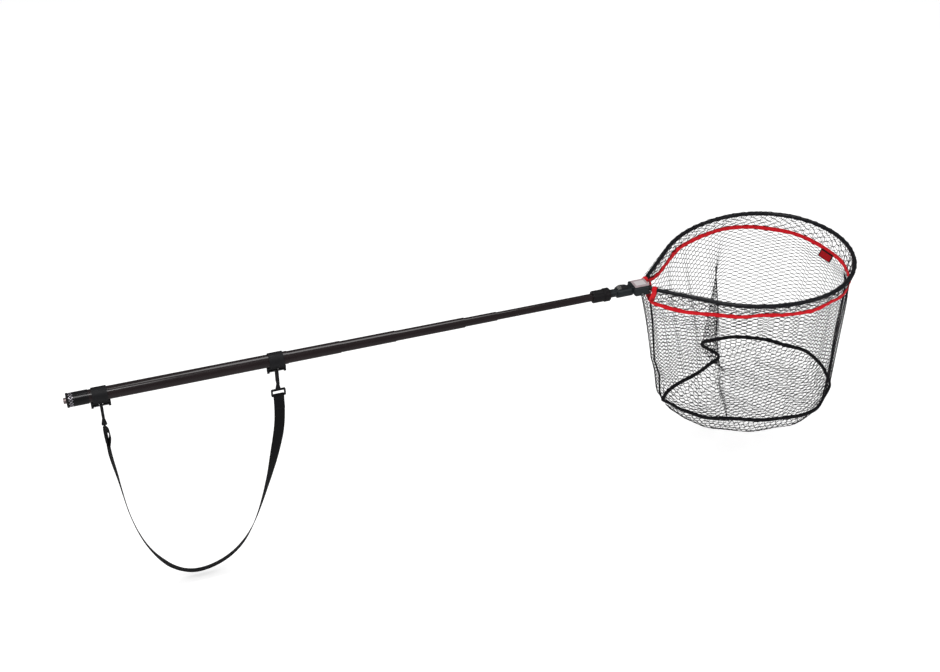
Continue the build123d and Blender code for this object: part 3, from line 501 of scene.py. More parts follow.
def strand_tree():
    """Geometry Nodes that turn a mesh of edges into round strands, thicker where 'thick' says so."""
    name = "Strands"
    tree = bpy.data.node_groups.get(name)
    if tree:
        return tree
    tree = bpy.data.node_groups.new(name, "GeometryNodeTree")
    tree.is_modifier = True
    for label, kind, default in (("Geometry", "Geometry", None), ("Radius", "Float", 0.0006),
                                 ("Sides", "Int", 4), ("Material", "Material", None)):
        socket = tree.interface.new_socket(label, in_out="INPUT", socket_type="NodeSocket" + kind)
        if default is not None:
            socket.default_value = default
    tree.interface.new_socket("Geometry", in_out="OUTPUT", socket_type="NodeSocketGeometry")
    start = tree.nodes.new("NodeGroupInput").outputs
    lines = put(tree, "GeometryNodeMeshToCurve", {"Mesh": start["Geometry"]})
    thick = put(tree, "GeometryNodeInputNamedAttribute", {"Name": "thick"}, data_type="FLOAT")
    circle = put(tree, "GeometryNodeCurvePrimitiveCircle", {
        "Resolution": start["Sides"], "Radius": start["Radius"]})
    round_lines = put(tree, "GeometryNodeCurveToMesh", {
        "Curve": lines.outputs["Curve"], "Profile Curve": circle.outputs["Curve"],
        "Scale": thick.outputs["Attribute"], "Fill Caps": True})
    shade = put(tree, "GeometryNodeSetShadeSmooth", {"Geometry": round_lines.outputs["Mesh"]})
    whole = put(tree, "GeometryNodeRealizeInstances", {"Geometry": shade.outputs["Geometry"]})
    paint = put(tree, "GeometryNodeSetMaterial", {
        "Geometry": whole.outputs["Geometry"], "Material": start["Material"]})
    put(tree, "NodeGroupOutput", {"Geometry": paint.outputs["Geometry"]})
    return tree


def strands(name, verts, edges, thick, radius, sides, material):
    """Round strands along edges, as a plain mesh."""
    mesh = bpy.data.meshes.new(name + "_lines")
    mesh.from_pydata([tuple(v) for v in verts], edges, [])
    mesh.attributes.new("thick", "FLOAT", "POINT").data.foreach_set("value", thick)
    source = bpy.data.objects.new(name + "_source", mesh)
    bpy.context.scene.collection.objects.link(source)
    modifier = source.modifiers.new("Strands", "NODES")
    modifier.node_group = strand_tree()
    values = {"Radius": radius, "Sides": sides, "Material": material}
    for item in modifier.node_group.interface.items_tree:
        if item.in_out == "INPUT" and item.name in values:
            modifier[item.identifier] = values[item.name]
    evaluated = source.evaluated_get(bpy.context.evaluated_depsgraph_get())
    made = bpy.data.meshes.new_from_object(evaluated)
    source.modifiers.remove(modifier)
    bpy.data.objects.remove(source)
    if not len(made.polygons):
        raise RuntimeError(f"{name} came out empty")
    made.name = name
    return made


def joined(name, meshes):
    """Several meshes as one mesh, keeping their shared material."""
    edit = bmesh.new()
    for mesh in meshes:
        edit.from_mesh(mesh)
    made = bpy.data.meshes.new(name)
    edit.to_mesh(made)
    edit.free()
    for material in meshes[0].materials:
        made.materials.append(material)
    return made


def stitch_row(name, centres, across, through, offset, lift, material):
    """A row of short stitches along a band, at an offset across it and a lift off its face."""
    pitch = sizes().stitch_pitch
    length = pitch * 0.6
    sunk, proud = -0.0003, 0.0002
    gaps = [0.0]
    for a, b in zip(centres, centres[1:]):
        gaps.append(gaps[-1] + (b - a).length)
    verts, edges, thick = [], [], []

    def at(where, extra):
        index = min(int(np.searchsorted(gaps, where)), len(centres) - 1)
        low = max(index - 1, 0)
        share = (where - gaps[low]) / max(gaps[index] - gaps[low], 1e-9)
        return (centres[low].lerp(centres[index], share)
                + across[low].lerp(across[index], share) * offset
                + through[low].lerp(through[index], share) * (lift + extra))

    for place in np.arange(pitch, gaps[-1] - pitch, pitch):
        base = len(verts)
        verts += [at(place, sunk), at(place + length * 0.5, proud), at(place + length, sunk)]
        edges += [(base, base + 1), (base + 1, base + 2)]
        thick += [0.8, 1.0, 0.8]
    return strands(name, verts, edges, thick, 0.0003, 4, material)


# ------------------------------------------------------------------ shader building
def made_once(store):
    """Find a finished material or node group by its name before building it again."""
    def wrap(build):
        def find(name, *args, **settings):
            return getattr(bpy.data, store).get(name) or build(name, *args, **settings)
        return find
    return wrap


def put(tree, kind, inputs=None, **settings):
    """Add a node, set its settings, and fill its inputs by name or number with values or sockets."""
    node = tree.nodes.new(kind)
    for key, value in settings.items():
        setattr(node, key, value)
    for key, value in (inputs or {}).items():
        if isinstance(value, bpy.types.NodeSocket):
            tree.links.new(value, node.inputs[key])
        else:
            node.inputs[key].default_value = value
    return node


def math_node(tree, operation, a, b=0.0):
    return put(tree, "ShaderNodeMath", {0: a, 1: b}, operation=operation).outputs[0]


def sine(tree, value, rate):
    """Sine of a value times a rate."""
    return math_node(tree, "SINE", math_node(tree, "MULTIPLY", value, rate))


def remap(tree, value, low, high, start=0.0, end=1.0):
    """Carry a value from the range start to end over to the range low to high."""
    return put(tree, "ShaderNodeMapRange", {0: value, 1: start, 2: end, 3: low, 4: high}).outputs[0]


def mix_colour(tree, factor, low, high):
    return put(tree, "ShaderNodeMix", {0: factor, 6: low, 7: high}, data_type="RGBA").outputs[2]


def shaded(colour, factor):
    return tuple(min(1.0, c * factor) for c in colour[:3]) + (1.0,)


def shader_group(name, inputs, outputs):
    """An empty shader node group, with its own input and output nodes."""
    group = bpy.data.node_groups.new(name, "ShaderNodeTree")
    for label, kind, default in inputs:
        socket = group.interface.new_socket(label, in_out="INPUT", socket_type="NodeSocket" + kind)
        if default is not None:
            socket.default_value = default
    for label in outputs:
        group.interface.new_socket(label, in_out="OUTPUT", socket_type="NodeSocketFloat")
    return group, group.nodes.new("NodeGroupInput").outputs, group.nodes.new("NodeGroupOutput").inputs


@made_once("node_groups")
def weave_group(name):
    """Plain weave on UV metres: a height for the yarns and a mask of painted shade that darkens the gaps
    between them.
    """
    group, given, result = shader_group(
        name, [("Vector", "Vector", None), ("Yarn along", "Float", 0.001), ("Yarn across", "Float", 0.001)],
        ["Height", "Shade"])
    split = put(group, "ShaderNodeSeparateXYZ", {0: given["Vector"]})
    turns = [sine(group, math_node(group, "DIVIDE", split.outputs[axis], given[yarn]), math.pi)
             for axis, yarn in (("X", "Yarn along"), ("Y", "Yarn across"))]
    over = math_node(group, "MULTIPLY", *turns)
    ridges = math_node(group, "MAXIMUM", *(math_node(group, "ABSOLUTE", turn) for turn in turns))
    height = math_node(group, "ADD", math_node(group, "MULTIPLY", over, 0.5), ridges)
    group.links.new(height, result["Height"])
    group.links.new(remap(group, ridges, 0.55, 1.0, 0.2, 1.0), result["Shade"])
    return group


@made_once("node_groups")
def grain_group(name):
    """Soft cloudy variation and fine grain from a position in metres."""
    group, given, result = shader_group(
        name, [("Vector", "Vector", None), ("Cloud scale", "Float", 30.0), ("Grain scale", "Float", 900.0)],
        ["Cloud", "Grain"])
    for label, scale, detail in (("Cloud", "Cloud scale", 3.0), ("Grain", "Grain scale", 2.0)):
        noise = put(group, "ShaderNodeTexNoise", {
            "Vector": given["Vector"], "Scale": given[scale], "Detail": detail})
        group.links.new(noise.outputs[0], result[label])
    return group


@made_once("node_groups")
def scuff_group(name):
    """Sparse rubbed spots and fine scratches, as a mask from 0 to 1."""
    group, given, result = shader_group(
        name, [("Vector", "Vector", None), ("Amount", "Float", 0.5)], ["Mask"])
    stretch = put(group, "ShaderNodeMapping", {"Vector": given["Vector"], "Scale": (18, 260, 260)})
    scratch = put(group, "ShaderNodeTexNoise", {"Vector": stretch.outputs[0], "Scale": 1.0, "Detail": 4.0})
    patch = put(group, "ShaderNodeTexNoise", {"Vector": given["Vector"], "Scale": 22.0})
    both = math_node(group, "MULTIPLY", scratch.outputs[0], patch.outputs[0])
    mask = remap(group, both, 0.0, 1.0, 0.30, 0.48)
    group.links.new(math_node(group, "MULTIPLY", mask, given["Amount"]), result["Mask"])
    return group


def weave(tree, coords, yarn_along, yarn_across):
    """Height and painted shade of a plain weave that follows the piece's own UV map."""
    node = put(tree, "ShaderNodeGroup", {
        "Vector": coords["UV"], "Yarn along": yarn_along, "Yarn across": yarn_across},
        node_tree=weave_group("Plain weave"))
    return node.outputs["Height"], node.outputs["Shade"]


def clouds(tree, coords, cloud=30.0, grain=900.0):
    """Cloudy variation and fine grain over a piece."""
    node = put(tree, "ShaderNodeGroup", {
        "Vector": coords["Object"], "Cloud scale": cloud, "Grain scale": grain},
        node_tree=grain_group("Cloud and grain"))
    return node.outputs["Cloud"], node.outputs["Grain"]


def rubbed(tree, coords, amount):
    """Mask of the places that handling has rubbed."""
    return put(tree, "ShaderNodeGroup", {"Vector": coords["Object"], "Amount": amount},
               node_tree=scuff_group("Handling scuffs")).outputs["Mask"]


def blank_material(name, specular=0.4, **sockets):
    """A material with its shader's constant sockets set, and its tree, shader and coordinates."""
    material = bpy.data.materials.new(name)
    material.use_nodes = True
    tree = material.node_tree
    shader = tree.nodes["Principled BSDF"]
    for key, value in sockets.items():
        shader.inputs[key.replace("_", " ")].default_value = value
    shader.inputs["Specular IOR Level"].default_value = specular
    return material, tree, shader, tree.nodes.new("ShaderNodeTexCoord").outputs


def dress(tree, shader, base, rough, height=None, strength=0.0, distance=0.0):
    """Join a colour, a roughness and a bump's height to the shader."""
    tree.links.new(base, shader.inputs["Base Color"])
    tree.links.new(rough, shader.inputs["Roughness"])
    if height is not None:
        raised = put(tree, "ShaderNodeBump", {"Height": height, "Strength": strength, "Distance": distance})
        tree.links.new(raised.outputs[0], shader.inputs["Normal"])


@made_once("materials")
def painted(name, colour, rough, coat, grain=1400.0, scuffs=0.35, metallic=0.0, specular=0.25):
    """Moulded or painted finish: cloudy colour, fine grain and a few rubbed scratches."""
    material, tree, shader, coords = blank_material(
        name, 0.4 if metallic else specular, Metallic=metallic, Coat_Roughness=0.12, IOR=1.5,
        Coat_Weight=coat)
    cloudy, grainy = clouds(tree, coords, 40.0, grain)
    worn = rubbed(tree, coords, scuffs)
    base = mix_colour(tree, cloudy, shaded(colour, 0.75), shaded(colour, 1.3))
    roughness = remap(tree, cloudy, rough * 0.85, rough * 1.15, 0.3, 0.7)
    dress(tree, shader, mix_colour(tree, worn, base, shaded(colour, 2.6)),
          math_node(tree, "ADD", roughness, math_node(tree, "MULTIPLY", worn, 0.15)), grainy, 0.25, 0.00004)
    return material


@made_once("materials")
def cloth(name, colour, yarn_along, yarn_across, depth=0.0002):
    """Woven tape or webbing on its own UV metres, with a fuzzy sheen and painted shade in the gaps between
    the yarns.
    """
    rough = 0.85
    material, tree, shader, coords = blank_material(name, 0.15, Sheen_Weight=0.03, Sheen_Roughness=0.5)
    yarns, shade = weave(tree, coords, yarn_along, yarn_across)
    cloudy, grainy = clouds(tree, coords, 60.0, 2500.0)
    base = mix_colour(tree, cloudy, shaded(colour, 0.8), shaded(colour, 1.2))
    height = math_node(tree, "ADD", yarns, math_node(tree, "MULTIPLY", grainy, 0.4))
    # Painted shade: the colour falls to 0.35 of the cloth's own in the gaps between the yarns.
    dress(tree, shader, mix_colour(tree, shade, shaded(colour, 0.35), base),
          remap(tree, grainy, rough * 0.9, min(1.0, rough * 1.1)), height, 0.6, depth)
    return material


@made_once("materials")
def tube_finish(name):
    """Lacquered carbon: a faint twill under a clear coat, with fine wrap lines round the tube."""
    wrap_pitch, twill_turns = 0.0021, 44.0
    material, tree, shader, coords = blank_material(
        name, 0.25, Coat_Roughness=0.04, IOR=1.5, Coat_Weight=1.0)
    split = put(tree, "ShaderNodeSeparateXYZ", {0: coords["Object"]}).outputs
    turn = math_node(tree, "ARCTAN2", split["Z"], split["Y"])
    lines = sine(tree, split["X"], 2 * math.pi / wrap_pitch)
    twill = math_node(tree, "MULTIPLY", lines, sine(tree, turn, twill_turns))
    cloudy, _ = clouds(tree, coords, 14.0, 700.0)
    warm = mix_colour(tree, cloudy, shaded(colours().tube, 0.6), (0.020, 0.012, 0.013, 1))
    share = remap(tree, twill, 0.0, 0.35, -1.0, 1.0)
    dress(tree, shader, mix_colour(tree, share, warm, (0.030, 0.020, 0.022, 1)),
          remap(tree, twill, 0.24, 0.34, -1.0, 1.0), twill, 0.08, 0.00003)
    return material


@made_once("materials")
def ring_finish(name):
    """Dark ring with bright crossed marks all the way round."""
    marks_round = 14
    low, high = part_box("butt_ring")
    material, tree, shader, coords = blank_material(name, Metallic=0.6)
    split = put(tree, "ShaderNodeSeparateXYZ", {0: coords["Object"]}).outputs
    turn = math_node(tree, "ARCTAN2", split["Z"], split["Y"])
    cell = math_node(tree, "FRACT", math_node(tree, "MULTIPLY", turn, marks_round / 2 / math.pi))
    across = math_node(tree, "ABSOLUTE", math_node(tree, "SUBTRACT", cell, 0.5))
    along = math_node(tree, "ABSOLUTE", remap(tree, split["X"], -0.5, 0.5, low.x, high.x))
    off = math_node(tree, "ABSOLUTE", math_node(tree, "SUBTRACT", across, along))
    cloudy, grainy = clouds(tree, coords)
    dark = mix_colour(tree, cloudy, (0.015, 0.014, 0.017, 1), (0.03, 0.028, 0.033, 1))
    mark = remap(tree, off, 1.0, 0.0, 0.05, 0.09)
    dress(tree, shader, mix_colour(tree, mark, dark, (0.75, 0.72, 0.78, 1)), remap(tree, grainy, 0.25, 0.4))
    return material


@made_once("materials")
def plate_finish(name):
    """Brushed plate: streaks along its length, slightly pink, paler in the sunken panel."""
    low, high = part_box("yoke_plate")
    colour = colours().plate
    panel_half = (high.y - low.y) * 0.31
    material, tree, shader, coords = blank_material(name, Metallic=0.3)
    stretch = put(tree, "ShaderNodeMapping", {"Vector": coords["Object"], "Scale": (60, 2200, 2200)})
    streak = put(tree, "ShaderNodeTexNoise", {
        "Vector": stretch.outputs[0], "Scale": 1.0, "Detail": 3.0}).outputs[0]
    split = put(tree, "ShaderNodeSeparateXYZ", {0: coords["Object"]}).outputs
    sunk = remap(tree, split["Z"], 0.0, 1.0, high.z - 0.00012, high.z - 0.00025)
    inside = remap(tree, math_node(tree, "ABSOLUTE", split["Y"]), 1.0, 0.0, panel_half, panel_half + 0.0003)
    brushed = mix_colour(tree, streak, shaded(colour, 0.75), shaded(colour, 1.25))
    panel = math_node(tree, "MULTIPLY", sunk, inside)
    dress(tree, shader, mix_colour(tree, panel, brushed, (0.82, 0.76, 0.77, 1)),
          remap(tree, streak, 0.32, 0.5), streak, 0.15, 0.00003)
    return material


@made_once("materials")
def slider_finish(name):
    """Black thumb slider whose ramp carries ribs, with a painted highlight on the rib crests along its top.
    """
    rib_pitch = 0.0022
    low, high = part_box("latch_slider")
    material, tree, shader, coords = blank_material(name, IOR=1.5)
    split = put(tree, "ShaderNodeSeparateXYZ", {0: coords["Object"]}).outputs
    # Painted highlight: the rib crests along the top of the ramp are painted pale, as if they caught the
    # light.
    crest_highlight = remap(tree, sine(tree, split["X"], 2 * math.pi / rib_pitch), 0.0, 1.0, 0.1, 0.6)
    ramp = remap(tree, split["X"], 1.0, 0.0, low.x + 0.0085, low.x + 0.0095)
    top = remap(tree, split["Z"], 0.0, 1.0, high.z - 0.0046, high.z - 0.0040)
    pale = math_node(tree, "MULTIPLY", math_node(tree, "MULTIPLY", ramp, crest_highlight), top)
    cloudy, grainy = clouds(tree, coords)
    dark = mix_colour(tree, cloudy, (0.012, 0.011, 0.013, 1), (0.03, 0.028, 0.03, 1))
    dress(tree, shader, mix_colour(tree, pale, dark, (0.30, 0.29, 0.28, 1)),
          remap(tree, grainy, 0.35, 0.5), grainy, 0.2, 0.00004)
    return material


@made_once("materials")
def netting_finish(name, pale=1.0):
    """Coated mesh yarn: almost black, slightly glossy, with a fine twist. pale is how much lighter the yarn
    is painted, which on the hoop's sleeve is a painted highlight.
    """
    colour = colours().netting
    material, tree, shader, coords = blank_material(name, 0.25, IOR=1.45)
    cloudy, grainy = clouds(tree, coords, 35.0, 1600.0)
    dress(tree, shader, mix_colour(tree, cloudy, shaded(colour, 0.6 * pale), shaded(colour, 1.7 * pale)),
          remap(tree, grainy, 0.5, 0.7), grainy, 0.5, 0.0001)
    return material


def rubber_finish():
    return painted("Matte rubber", (0.010, 0.010, 0.010), 0.65, 0.0, scuffs=0.2)


def steel_finish():
    return painted("Bright steel", (0.60, 0.60, 0.62), 0.28, 0.0, metallic=1.0, scuffs=0.2)


def red_tape_finish():
    return cloth("Red tape", colours().tape, 0.0011, 0.0009, depth=0.0003)


def yarn_finish():
    return netting_finish("Netting yarn")


def finish_nodes(finishes):
    """Give CAD parts their finish."""
    for material, nodes in finishes:
        for node in nodes:
            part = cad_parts[node]
            part.data.materials.clear()
            part.data.materials.append(material)


# ------------------------------------------------------------------ operators: rigid parts
class LANDINGNET_OT_pole(bpy.types.Operator):
    """Finish the pole's sections, butt fittings, bands and feet"""
    bl_idname = "landingnet.pole"
    bl_label = "Pole"

    def execute(self, context):
        band = painted("Matte band", (0.013, 0.013, 0.015), 0.55, 0.0, scuffs=0.15, grain=900.0)
        fitting = painted("Satin fitting", (0.011, 0.010, 0.011), 0.38, 0.15)
        stud = painted("Pale stud", (0.42, 0.33, 0.33), 0.4, 0.0, metallic=0.7)
        sections = [f"{name}_section" for name in ("butt", "second", "third", "fourth", "fifth", "tip")]
        finish_nodes([
            (tube_finish("Lacquered carbon"), sections),
            (painted("Gloss sleeve", (0.008, 0.008, 0.009), 0.22, 0.5), ["butt_sleeve"]),
            (ring_finish("Marked ring"), ["butt_ring"]),
            (rubber_finish(), ["butt_cap"]),
            (stud, ["butt_stud"]),
            (fitting, ["tip_collar", "tip_ring"]),
            (band, ["front_band", "rear_band", "front_strap_foot", "rear_strap_foot"]),
            (steel_finish(), ["front_strap_bar", "rear_strap_bar"]),
        ])
        return {"FINISHED"}


class LANDINGNET_OT_head(bpy.types.Operator):
    """Finish the folding joint, its latch, the yoke and the hoop"""
    bl_idname = "landingnet.head"
    bl_label = "Head joint"

    def execute(self, context):
        joint = painted("Blue-black paint", colours().joint, 0.30, 0.5, scuffs=0.25, specular=0.5)
        hoop = painted("Hoop paint", (0.010, 0.011, 0.013), 0.32, 0.1, scuffs=0.3)
        finish_nodes([
            (joint, ["head_spigot", "hinge_housing", "yoke_block"]),
            (steel_finish(), ["hinge_pin", "latch_bolt", "latch_spring", "clamp_bolt"]),
            (slider_finish("Ribbed slider"), ["latch_slider"]),
            (plate_finish("Brushed plate"), ["yoke_plate"]),
            (hoop, ["hoop_frame"]),
        ])
        return {"FINISHED"}


class LANDINGNET_OT_foot_pads(bpy.types.Operator):
    """Fill the strap feet beside the hooks with rubber pads"""
    bl_idname = "landingnet.foot_pads"
    bl_label = "Foot pads"

    def execute(self, context):
        steps, foot_wall, hook_gap, pad_depth = 5, 0.003, 0.001, 0.0135
        for end in ("front", "rear"):
            foot_low, foot_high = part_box(f"{end}_strap_foot")
            hook_low, hook_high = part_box(f"{end}_snap_hook")
            bar_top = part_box(f"{end}_strap_bar")[1].z
            plate_low = -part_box(f"{end}_band")[1].z - 0.0025
            height = (plate_low + bar_top) / 2
            pads = []
            for low, high in ((foot_low.x + foot_wall, hook_low.x - hook_gap),
                              (hook_high.x + hook_gap, foot_high.x - foot_wall)):
                line = [Vector((low + (high - low) * k / (steps - 1), 0, height)) for k in range(steps)]
                pads.append(ribbon_mesh("pad", line, [UP] * steps, [Vector((0, 1, 0))] * steps,
                                        plate_low - bar_top + 0.0004, pad_depth))
            name = f"{end}_foot_pads"
            new_object(name, joined(name, pads), "handle", rubber_finish())
        return {"FINISHED"}


class LANDINGNET_OT_hooks(bpy.types.Operator):
    """Finish the snap hooks, their gates, the swivel loops and the strap's buckle"""
    bl_idname = "landingnet.hooks"
    bl_label = "Snap hooks"

    def execute(self, context):
        plastic = painted("Hook plastic", (0.010, 0.010, 0.012), 0.42, 0.0, scuffs=0.2)
        finish_nodes([(plastic, STRAP_PLASTIC)])
        return {"FINISHED"}


# ------------------------------------------------------------------ operators: strap
def strap_line():
    """Points along the strap's smooth route, read from its NURBS spline."""
    curve = bpy.data.curves.new("strap_route", "CURVE")
    curve.dimensions = "3D"
    spline = curve.splines.new("NURBS")
    spline.points.add(len(STRAP_POINTS) - 1)
    for point, (x, z) in zip(spline.points, STRAP_POINTS):
        point.co = (x, 0, z, 1)
    spline.order_u = 3
    spline.use_endpoint_u = True
    spline.resolution_u = 12
    holder = bpy.data.objects.new("strap_route", curve)
    bpy.context.scene.collection.objects.link(holder)
    mesh = bpy.data.meshes.new_from_object(holder)
    points = [vertex.co.copy() for vertex in mesh.vertices]
    bpy.data.objects.remove(holder)
    return points


def strap_end(end, webbing):
    """The webbing folded round one hook's loop, and the stitches that hold the fold."""
    width, thin = sizes().strap_width, sizes().strap_thickness
    if end == "front":
        place, bar, bow = Vector((BAND_X, 0, 0)), FRONT_LOOP_LOW.z + 0.002, 0.0
        along, out = Vector((1, 0, 0)), Vector((0, 1, 0))
    else:
        place, bar, bow = Vector((-BAND_X, 0, 0)), REAR_LOOP_LOW.z + 0.002, 0.006
        along, out = Vector((0, 1, 0)), Vector((1, 0, 0))
    leg = thin + 0.0002
    # Reach and height of the fold, up one leg, over the loop's bar and down the other.
    profile = [
        (leg, bar - 0.046), (leg + bow * 0.6, bar - 0.030), (leg + bow, bar - 0.016),
        (0.0036 + bow * 0.5, bar - 0.004), (0.0034, bar + 0.0012), (0.0, bar + 0.0034),
        (-0.0034, bar + 0.0012), (-0.0032, bar - 0.005), (-leg, bar - 0.014), (-leg, bar - 0.038),
    ]
    line = smooth_path([place + out * o + Vector((0, 0, z)) for o, z in profile], 6)
    fold = ribbon_mesh(f"{end}_strap_fold", line, [along] * len(line),
                       [f.cross(along).normalized() for f in headings(line)], width - 0.0008, thin)
    thread = cloth("Thread", (0.03, 0.03, 0.035), 0.0006, 0.0006)
    rows, marks = [], 12
    across_fold = np.linspace(-0.010, 0.010, marks)
    for drop in (0.020, 0.026, 0.033):
        row = [place + along * s + Vector((0, 0, bar - drop)) for s in across_fold]
        for face in (1, -1):
            rows.append(stitch_row(f"{end}_row", row, [UP] * marks, [out * face] * marks, 0,
                                   leg + thin / 2 + (bow * 0.7 if face > 0 else 0), thread))
    stitches = f"{end}_strap_stitches"
    return [new_object(f"{end}_strap_fold", fold, "strap", webbing),
            new_object(stitches, joined(stitches, rows), "strap")]


class LANDINGNET_OT_strap(bpy.types.Operator):
    """Make the webbing of the shoulder strap and its folded ends"""
    bl_idname = "landingnet.strap"
    bl_label = "Shoulder strap"

    def execute(self, context):
        width, thin = sizes().strap_width, sizes().strap_thickness
        points = strap_line()
        gaps = np.concatenate([[0], np.cumsum([(b - a).length for a, b in zip(points, points[1:])])])
        across, through = [], []
        shares, angles = zip(*STRAP_TWIST)
        for ahead, gap in zip(headings(points), gaps):
            turn = math.radians(np.interp(gap / gaps[-1], shares, angles))
            side = Vector((-ahead.z, 0, ahead.x)) * math.cos(turn) + Vector((0, 1, 0)) * math.sin(turn)
            across.append(side)
            through.append(ahead.cross(side).normalized())
        webbing = cloth("Webbing", colours().webbing, 0.0016, 0.0011, depth=0.00035)
        mesh = ribbon_mesh("strap_webbing", points, across, through, width, thin)
        strap = new_object("strap_webbing", mesh, "strap", webbing, ["shoulder_strap"])
        ends = strap_end("front", webbing) + strap_end("rear", webbing)
        tuple(points[0])
        return {"FINISHED"}


# ------------------------------------------------------------------ operators: netting
def lag(column):
    """Odd columns of cells stand half a row on."""
    return 0.5 if column % 2 else 0


def next_rows(column):
    """Steps from a joint's row to the two rows that its strands reach in the next column."""
    return (1, 0) if column % 2 else (0, -1)


def cells(columns, rows, place, ring=False):
    """Verts, joints' ends, joints and strands of six-sided cells; place gives each end of a joint.

    In a ring, the last row meets the first.
    """
    verts, ends, joints = [], {}, []
    for column in columns:
        for row in range(rows if ring or column % 2 else rows + 1):
            for side in (-1, 1):
                ends[column, row, side] = len(verts)
                verts.append(place(column, row, side))
            joints.append((column, row))
    strand_edges = []
    for column, row in joints:
        for step in next_rows(column):
            other = (column + 1, (row + step) % rows if ring else row + step, -1)
            if other in ends:
                strand_edges.append((ends[column, row, 1], ends[other]))
    return verts, ends, joints, strand_edges


def netting(name, verts, ends, joints, strand_edges, material, scale=1.0):
    """Thin strands and thick joints, as one mesh. scale makes the yarn finer or coarser."""
    size = sizes()
    tip = 0.62 * scale
    thin = strands(name + "_strands", verts, strand_edges, [scale] * len(verts),
                   size.strand_radius, 4, material)
    points, edges, thick = [], [], []
    for key in joints:
        a, b = verts[ends[(*key, -1)]], verts[ends[(*key, 1)]]
        base = len(points)
        points += [a, (a + b) / 2, b]
        edges += [(base, base + 1), (base + 1, base + 2)]
        thick += [tip, scale, tip]
    bars = strands(name + "_joints", points, edges, thick, size.joint_radius, 6, material)
    return joined(name, [thin, bars])


def hoop_columns(pitch):
    """An even number of columns round the hoop."""
    return 2 * round(TOP.length() / pitch / 2)


class LANDINGNET_OT_net_wall(bpy.types.Operator):
    """Knot the netting of the bag's wall"""
    bl_idname = "landingnet.net_wall"
    bl_label = "Net wall"

    def execute(self, context):
        size = sizes()
        columns = hoop_columns(size.cell_width)
        rows = round(BAG_DEPTH / size.cell_height)
        half = size.joint_length / TOP.length() / 2
        draw = random.Random(size.seed)
        wobble = [[(draw.uniform(-1, 1), draw.uniform(-1, 1)) for _ in range(rows + 2)]
                  for _ in range(columns)]

        def place(column, row, side):
            column %= columns
            share = min(1.0, (row + lag(column)) / rows)
            loose = 1.0 if share > TAPE_SHARE * 1.2 else 1.4
            slip, lift = wobble[column][row]
            turn = column / columns + side * half + slip * 0.0003 * loose
            return wall_point(turn, min(1.0, max(0.0, share + lift * 0.0016 * loose * (0 < share < 1))))

        for name, wanted in (("net_wall_front", range(columns // 2 + 1)),
                             ("net_wall_back", range(columns // 2, columns + 1))):
            mesh = netting(name, *cells(wanted, rows, place), yarn_finish())
            crumple(new_object(name, mesh, "head", replaces=["net_wall"]))
        return {"FINISHED"}


class LANDINGNET_OT_net_collar(bpy.types.Operator):
    """Double the netting between the hoop and the tape, where it is turned over and gathered"""
    bl_idname = "landingnet.net_collar"
    bl_label = "Net collar"

    def execute(self, context):
        size = sizes()
        columns, rows = hoop_columns(size.cell_width), 3
        draw = random.Random(size.seed + 2)
        half = size.joint_length / TOP.length() / 2
        # The collar ends just above the tape, and hangs a little inside the wall.
        depth, inset = TAPE_SHARE - 0.017, 0.0025

        def place(column, row, side):
            share = depth * (row + lag(column)) / rows
            turn = (column + 0.5) / columns + side * half + draw.uniform(-0.0004, 0.0004)
            spot = wall_point(turn, share + draw.uniform(-0.003, 0.003) * (0 < row < rows))
            inward = Vector((MIDDLE_X - spot.x, -spot.y, 0)).normalized()
            return spot + inward * (inset + draw.uniform(-0.0006, 0.0006))

        mesh = netting("net_collar", *cells(range(columns + 1), rows, place), yarn_finish(), 0.75)
        crumple(new_object("net_collar", mesh, "head"))
        return {"FINISHED"}


def in_floor(spot):
    """Whether a plan place lies inside the floor's outline."""
    x, y = spot
    ahead = np.roll(LOW_EDGE, -1, axis=0)
    crosses = (LOW_EDGE[:, 1] > y) != (ahead[:, 1] > y)
    with np.errstate(divide="ignore", invalid="ignore"):
        at = LOW_EDGE[:, 0] + (y - LOW_EDGE[:, 1]) / (ahead[:, 1] - LOW_EDGE[:, 1]) * (
            ahead[:, 0] - LOW_EDGE[:, 0])
    return bool(np.count_nonzero(crosses & (x < at)) % 2)


def cut_at_edge(good, bad):
    """The last place inside the floor on the way from a place inside it to one outside."""
    low, high = 0.0, 1.0
    for _ in range(8):
        middle = (low + high) / 2
        spot = [good[k] + (bad[k] - good[k]) * middle for k in (0, 1)]
        low, high = (middle, high) if in_floor(spot) else (low, middle)
    return tuple(good[k] + (bad[k] - good[k]) * low for k in (0, 1))


